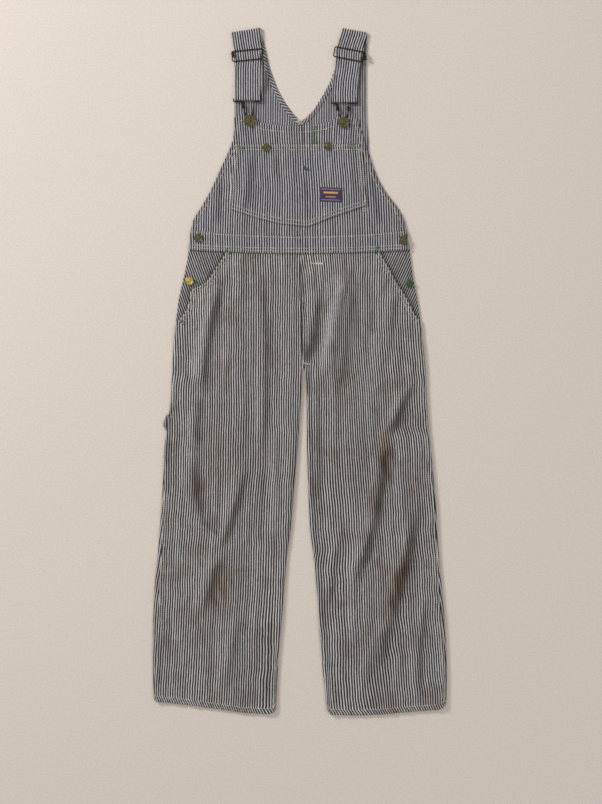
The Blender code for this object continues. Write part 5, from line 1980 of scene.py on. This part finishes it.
def row_of_stitches():
    """Geometry Nodes that lay one stitch after another along paths."""
    tree = bpy.data.node_groups.new("Row of stitches", "GeometryNodeTree")
    sockets = (
        ("Path", "NodeSocketGeometry"),
        ("Stitch length", "NodeSocketFloat"),
        ("Stitch width", "NodeSocketFloat"),
        ("Pitch", "NodeSocketFloat"),
        ("Turn", "NodeSocketFloat"),
        ("Slack", "NodeSocketFloat"),
        ("Thread", "NodeSocketMaterial"),
    )
    for name, kind in sockets:
        tree.interface.new_socket(name, in_out="INPUT", socket_type=kind)
    tree.interface.new_socket("Stitches", in_out="OUTPUT", socket_type="NodeSocketGeometry")
    given = tree.nodes.new("NodeGroupInput").outputs
    outlet = tree.nodes.new("NodeGroupOutput")
    curve = put(tree, "GeometryNodeMeshToCurve", {"Mesh": given["Path"]})
    points = put(
        tree,
        "GeometryNodeCurveToPoints",
        {"Curve": curve.outputs["Curve"], "Length": given["Pitch"]},
        mode="LENGTH",
    ).outputs
    slack = put(
        tree, "ShaderNodeMath", {0: given["Slack"], 1: -1.0}, operation="MULTIPLY"
    ).outputs[0]
    sway = put(
        tree,
        "FunctionNodeRandomValue",
        {"Min": slack, "Max": given["Slack"], "Seed": 5},
        data_type="FLOAT",
    )
    sway = next(socket for socket in sway.outputs if socket.enabled)
    turn = put(tree, "ShaderNodeMath", {0: given["Turn"], 1: sway}, operation="ADD").outputs[0]
    about = put(tree, "ShaderNodeCombineXYZ", {"Z": turn}).outputs["Vector"]
    along = put(
        tree, "FunctionNodeAlignRotationToVector", {"Vector": points["Tangent"]}, axis="X"
    ).outputs["Rotation"]
    facing = put(
        tree,
        "FunctionNodeRotateRotation",
        {"Rotation": along, "Rotate By": about},
        rotation_space="LOCAL",
    ).outputs["Rotation"]
    half_length = put(
        tree, "ShaderNodeMath", {0: given["Stitch length"], 1: 0.5}, operation="MULTIPLY"
    ).outputs[0]
    half_width = put(
        tree, "ShaderNodeMath", {0: given["Stitch width"], 1: 0.5}, operation="MULTIPLY"
    ).outputs[0]
    size = put(
        tree, "ShaderNodeCombineXYZ", {"X": half_length, "Y": half_width, "Z": half_width}
    ).outputs["Vector"]
    bead = put(tree, "GeometryNodeMeshUVSphere", {"Segments": 6, "Rings": 4, "Radius": 1.0})
    stitches = put(
        tree,
        "GeometryNodeInstanceOnPoints",
        {
            "Points": points["Points"],
            "Instance": bead.outputs["Mesh"],
            "Rotation": facing,
            "Scale": size,
        },
    ).outputs["Instances"]
    real = put(tree, "GeometryNodeRealizeInstances", {"Geometry": stitches}).outputs["Geometry"]
    smooth = put(tree, "GeometryNodeSetShadeSmooth", {"Geometry": real}).outputs["Geometry"]
    dyed = put(
        tree, "GeometryNodeSetMaterial", {"Geometry": smooth, "Material": given["Thread"]}
    ).outputs["Geometry"]
    tree.links.new(dyed, outlet.inputs["Stitches"])
    return tree


STITCH_STYLES = {
    "run": {"Stitch length": 3.0, "Stitch width": 1.05, "Pitch": 3.9, "Turn": 0, "Slack": 0.10},
    "fine": {"Stitch length": 2.3, "Stitch width": 0.9, "Pitch": 3.1, "Turn": 0, "Slack": 0.10},
    "tack": {"Stitch length": 4.6, "Stitch width": 0.9, "Pitch": 0.85, "Turn": 84, "Slack": 0.16},
    "hole": {"Stitch length": 3.0, "Stitch width": 0.8, "Pitch": 0.8, "Turn": 90, "Slack": 0.12},
}


def ground_of(pieces):
    """Every cloth surface in one tree, to lay the sewing on."""
    points, faces = [], []
    for piece in pieces:
        start = len(points)
        points += [vertex.co.copy() for vertex in piece.data.vertices]
        faces += [[start + i for i in polygon.vertices] for polygon in piece.data.polygons]
    return BVHTree.FromPolygons(points, faces)


def laid_on(ground, path, step=2.2):
    """The path in points of about this step, each dropped onto the cloth below it."""
    path = np.asarray(path, float)
    run = np.concatenate([[0], np.cumsum(np.linalg.norm(np.diff(path, axis=0), axis=1))])
    stations = np.linspace(0, run[-1], max(int(run[-1] / step), 2) + 1)
    places = []
    for x, y in zip(np.interp(stations, run, path[:, 0]), np.interp(stations, run, path[:, 1])):
        hit = ground.ray_cast(Vector((x * MM, y * MM, 0.1)), Vector((0, 0, -1)))[0]
        if hit is not None:
            places.append(hit + Vector((0, 0, THREAD_LIFT * MM)))
    return places


def sew(name, ground, paths, style, thread, tree):
    points, edges = [], []
    for path in paths:
        places = laid_on(ground, path)
        start = len(points)
        points += places
        edges += [(start + i, start + i + 1) for i in range(len(places) - 1)]
    mesh = bpy.data.meshes.new(name)
    mesh.from_pydata(points, edges, [])
    piece = object_from(name, mesh)
    modifier = piece.modifiers.new("stitches", "NODES")
    modifier.node_group = tree
    values = {**STITCH_STYLES[style], "Thread": FINISHES[thread]}
    for socket in tree.interface.items_tree:
        if socket.in_out == "OUTPUT" or socket.name not in values:
            continue
        value = values[socket.name]
        if socket.name == "Turn":
            value = math.radians(value)
        elif socket.name in ("Stitch length", "Stitch width", "Pitch"):
            value = value * MM
        modifier[socket.identifier] = value
    piece = as_mesh(piece)
    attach(piece, BODY)
    return piece


THREAD_LIFT = 0.12


def beside(table, side, rows, away):
    """Points along a side edge of a table, moved into the cloth."""
    toward = 1 if side == "left" else -1
    return [(float(read(table, side, y)) + toward * away, y) for y in rows]


def leg_line(side, where, rows, away):
    inward = 1 if (where == "outer") == (side == "left") else -1
    return [
        (float(leg_edge(side, where, y)) + inward * away, float(hem_y(leg_edge(side, where, y), y)))
        for y in rows
    ]


def band_line(away, from_top):
    columns = np.linspace(-211, 207, 60)
    top, bottom = band_edges(columns)
    return list(zip(columns, top - away if from_top else bottom + away))


def bib_top_line(away):
    columns = np.linspace(-122, 108, 50)
    return list(zip(columns, read(BIB_TOP, "y", columns) - away))


def pocket_low_line(away):
    columns = np.linspace(-134, 132, 50)
    return list(zip(columns, read_straight(POCKET_LOW_EDGE, "y", columns) + away))


def hem_line(side):
    outer, inner = (float(leg_edge(side, where, HEM)) for where in ("outer", "inner"))
    columns = np.linspace(outer + (4 if side == "left" else -4), inner, 40)
    return [(x, float(hem_y(x, HEM + HEM_DEPTH - 1.6))) for x in columns]


def cut_line(side, away):
    """Beside the cut edge of the slant pocket, on the leg's front."""
    rows = np.linspace(236, VENT_END + 3, 50)
    edge = np.array([(float(read(POCKET_EDGE, side, y)), y) for y in rows])
    way = np.gradient(edge, axis=0)
    way /= np.linalg.norm(way, axis=1, keepdims=True)
    toward = 1 if side == "left" else -1
    inward = np.stack([-way[:, 1], way[:, 0]], axis=-1) * toward
    return edge + inward * away


def strap_line(side, share):
    path = []
    for x0, y0, x1, y1 in STRAPS[side]["front"]:
        path.append((mix(x0, x1, share), mix(y0, y1, share)))
    return path


def cream_runs():
    tall = np.linspace(445, 322, 40)
    paths = [
        [(-123, 450.9), (117, 450.9)],
        [(-125, 443.3), (120, 443.3)],
        pocket_low_line(3.2),
        pocket_low_line(10.8),
        bib_top_line(12.5),
        band_line(3.2, True),
        band_line(4.6, False),
        band_line(10.6, False),
    ]
    for side in ("left", "right"):
        paths += [beside(POCKET_SIDES, side, tall, away) for away in (2.6, 8.4)]
        paths += [beside(BIB_EDGES, side, np.linspace(500, 290, 70), 8.2)]
        paths += [cut_line(side, away) for away in (3.0, 9.0)]
        paths.append(hem_line(side))
    return paths


def leg_runs():
    """Rows beside the long seams of the legs, in worn thread."""
    paths = []
    for side in ("left", "right"):
        low = np.linspace(VENT_END - 8, HEM + 10, 170)
        wrap = read(OUTSEAM_WRAP, side, low)
        for away in (2.2, 8.0):
            rows = [leg_line(side, "outer", [y], w + away - 1.6)[0] for y, w in zip(low, wrap)]
            paths.append(rows)
    rise = np.linspace(234, CROTCH + 4, 60)
    paths += [leg_line("right", "inner", rise, away) for away in (2.4, 7.4)]
    return paths


def fine_runs():
    paths = []
    for side in ("left", "right"):
        paths += [strap_line(side, share) for share in (0.07, 0.93)]
        paths.append(beside(VEST_EDGES, side, np.linspace(648, 522, 50), 6.2))
    paths.append(neck_line(1.6)[1:-1])
    paths.append(neck_line(BINDING_WIDE - 1.4)[1:-1])
    return paths


# Short rows of close stitches, each a path through its points
GREEN_TACKS = (
    ((-125.6, 451.5), (-111.6, 447.5)),
    ((-125.0, 446.0), (-112.5, 443.5)),
    ((92.4, 455.5), (108.4, 452.5)),
    ((94.0, 450.0), (107.0, 448.0)),
    ((-147.5, 246.0), (-145.0, 234.0)),
    ((-140.5, 246.5), (-139.0, 235.0)),
    ((151.5, 250.5), (154.0, 235.0)),
    ((158.5, 251.0), (161.5, 235.5)),
    ((-207.0, 185.5), (-207.4, 175.5)),
    ((-240.0, 105.0), (-233.0, 94.0)),
    ((-234.5, 105.0), (-232.5, 98.0)),
    ((10.4, 46.5), (18.4, 45.0)),
    ((-203.0, 273.0), (-199.5, 279.5)),
    ((212.5, 271.0), (209.0, 276.0)),
)
WHITE_TACKS = (
    ((-6.5, 500.0), (5.2, 496.0)),
    ((-4.0, 503.5), (4.6, 500.5)),
    ((6.4, 16.5), (20.4, 15.0)),
    ((21.6, 216.6), (45.4, 216.0)),
)
BUTTONHOLE = (
    ((28.2, 487.5), (27.6, 472.0), (27.4, 455.5)),
    ((33.4, 488.0), (33.0, 472.0), (32.2, 455.0)),
    ((28.2, 487.5), (30.8, 490.0), (33.4, 488.0)),
)
TEAL_MARKS = (
    ((7.0, 411.0), (12.0, 406.5), (19.0, 401.5)),
    ((8.5, 405.5), (14.0, 402.0)),
)


# The garment


FINISHES = {
    "leg": striped_cloth("leg"),
    "bib": striped_cloth("bib"),
    "inside": striped_cloth("inside"),
    "facing": striped_cloth("facing"),
    "cream thread": thread_finish("cream thread", srgb(232, 222, 196), srgb(176, 166, 146)),
    "worn thread": thread_finish("worn thread", srgb(196, 188, 172), srgb(120, 114, 108)),
    "green thread": thread_finish("green thread", srgb(70, 112, 84), srgb(112, 136, 100)),
    "teal thread": thread_finish("teal thread", srgb(58, 92, 96), srgb(70, 96, 100)),
    "wound thread": thread_finish("wound thread", srgb(78, 118, 78), srgb(54, 84, 56)),
    "brass": metal_finish(
        "speckled brass", srgb(136, 126, 84), srgb(58, 54, 36), 900.0, 0.52, 0.6
    ),
    "bright brass": metal_finish(
        "bright brass", srgb(200, 176, 104), srgb(124, 102, 54), 500.0, 0.4, 0.75
    ),
    "wire": metal_finish(
        "rusty wire", srgb(104, 86, 72), srgb(52, 32, 22), 420.0, 0.62, 0.55
    ),
    "label": label_finish(),
}


def make_cloth():
    """Every cut piece of cloth, with what it lies on."""
    leg, bib_cloth = [FINISHES["leg"]], [FINISHES["bib"]]
    lined = [FINISHES["bib"], FINISHES["inside"]]
    pieces = []

    def add(piece, node, rests_on, flat=None):
        pieces.append(dress(piece, [node], rests_on, flat))

    for side in ("left", "right"):
        add(leg_back(side, leg), f"{side}_leg_back", ["root"])
        add(leg_front(side, leg), f"{side}_leg_front", [f"{side}_leg_back_cloth"])
        add(
            pocket_facing(side, [FINISHES["facing"]]),
            f"{side}_pocket_facing",
            [f"{side}_leg_back_cloth"],
        )
    inside_out = [FINISHES["inside"], FINISHES["bib"]]
    add(vest_back(inside_out), "vest_back", ["root"])
    binding = (BINDING_CUT * MM, neck_length() * MM)
    add(neck_binding(bib_cloth), "neck_binding", ["vest_back_cloth"], flat=binding)
    add(bib(lined), "bib", ["vest_back_cloth"])
    add(bib_pocket(bib_cloth), "bib_pocket", ["bib_cloth"])
    add(waistband(bib_cloth), "waistband", ["bib_cloth"])
    add(tool_loop([FINISHES["facing"]]), "tool_loop", ["left_leg_back_cloth"])
    add(label(FINISHES["label"]), "label", ["bib_pocket_cloth"])
    for side in ("left", "right"):
        add(strap_cloth(side, bib_cloth), f"{side}_strap", ["vest_back_cloth"])
    return pieces


def make_sewing(ground):
    tree = row_of_stitches()
    sew("cream_rows", ground, cream_runs(), "run", "cream thread", tree)
    sew("leg_rows", ground, leg_runs(), "run", "worn thread", tree)
    sew("fine_rows", ground, fine_runs(), "fine", "worn thread", tree)
    sew("green_tacks", ground, GREEN_TACKS, "tack", "green thread", tree)
    sew("white_tacks", ground, WHITE_TACKS, "tack", "cream thread", tree)
    sew("buttonhole", ground, BUTTONHOLE, "hole", "green thread", tree)
    sew("teal_marks", ground, TEAL_MARKS, "tack", "teal thread", tree)


cloth = make_cloth()
for side in ("left", "right"):
    slider(side, FINISHES["wire"])
    strap_loop(side, FINISHES["wire"])
buttons()
make_sewing(ground_of(cloth))


# Floor, light and camera

FLOOR_HALF = 6.0
LENS = 100.0
SENSOR = 36.0
IMAGE = (602, 804)
MM_PER_PIXEL = 2.0
VIEW_CENTRE = (2.4 * MM, -60.5 * MM)


def make_floor():
    mesh = bpy.data.meshes.new("floor")
    h = FLOOR_HALF
    mesh.from_pydata([(-h, -h, 0), (h, -h, 0), (h, h, 0), (-h, h, 0)], [], [(0, 1, 2, 3)])
    mesh.materials.append(floor_finish())
    object_from("floor", mesh)


def area_light(name, place, size, power, colour):
    light = bpy.data.lights.new(name, "AREA")
    light.size = size
    light.energy = power
    light.color = colour
    obj = object_from(name, light)
    obj.location = place
    obj.rotation_euler = (-Vector(place)).to_track_quat("-Z", "Y").to_euler()


def make_camera():
    camera = bpy.data.cameras.new("camera")
    camera.lens = LENS
    camera.sensor_width = SENSOR
    camera.sensor_fit = "AUTO"
    obj = object_from("camera", camera)
    tall = IMAGE[1] * MM_PER_PIXEL * MM
    obj.location = (*VIEW_CENTRE, tall / (SENSOR / LENS))
    bpy.context.scene.camera = obj


make_floor()
area_light("key", (-2.9, 2.3, 1.75), 0.8, 128.0, (1.0, 0.985, 0.96))
area_light("fill", (1.6, -1.2, 2.8), 2.4, 16.0, (0.94, 0.97, 1.0))
make_camera()

world = bpy.data.worlds.new("studio")
world.use_nodes = True
world.node_tree.nodes["Background"].inputs["Color"].default_value = (1.0, 0.985, 0.965, 1.0)
world.node_tree.nodes["Background"].inputs["Strength"].default_value = 0.5
bpy.context.scene.world = world
bpy.context.scene.view_settings.view_transform = "Standard"
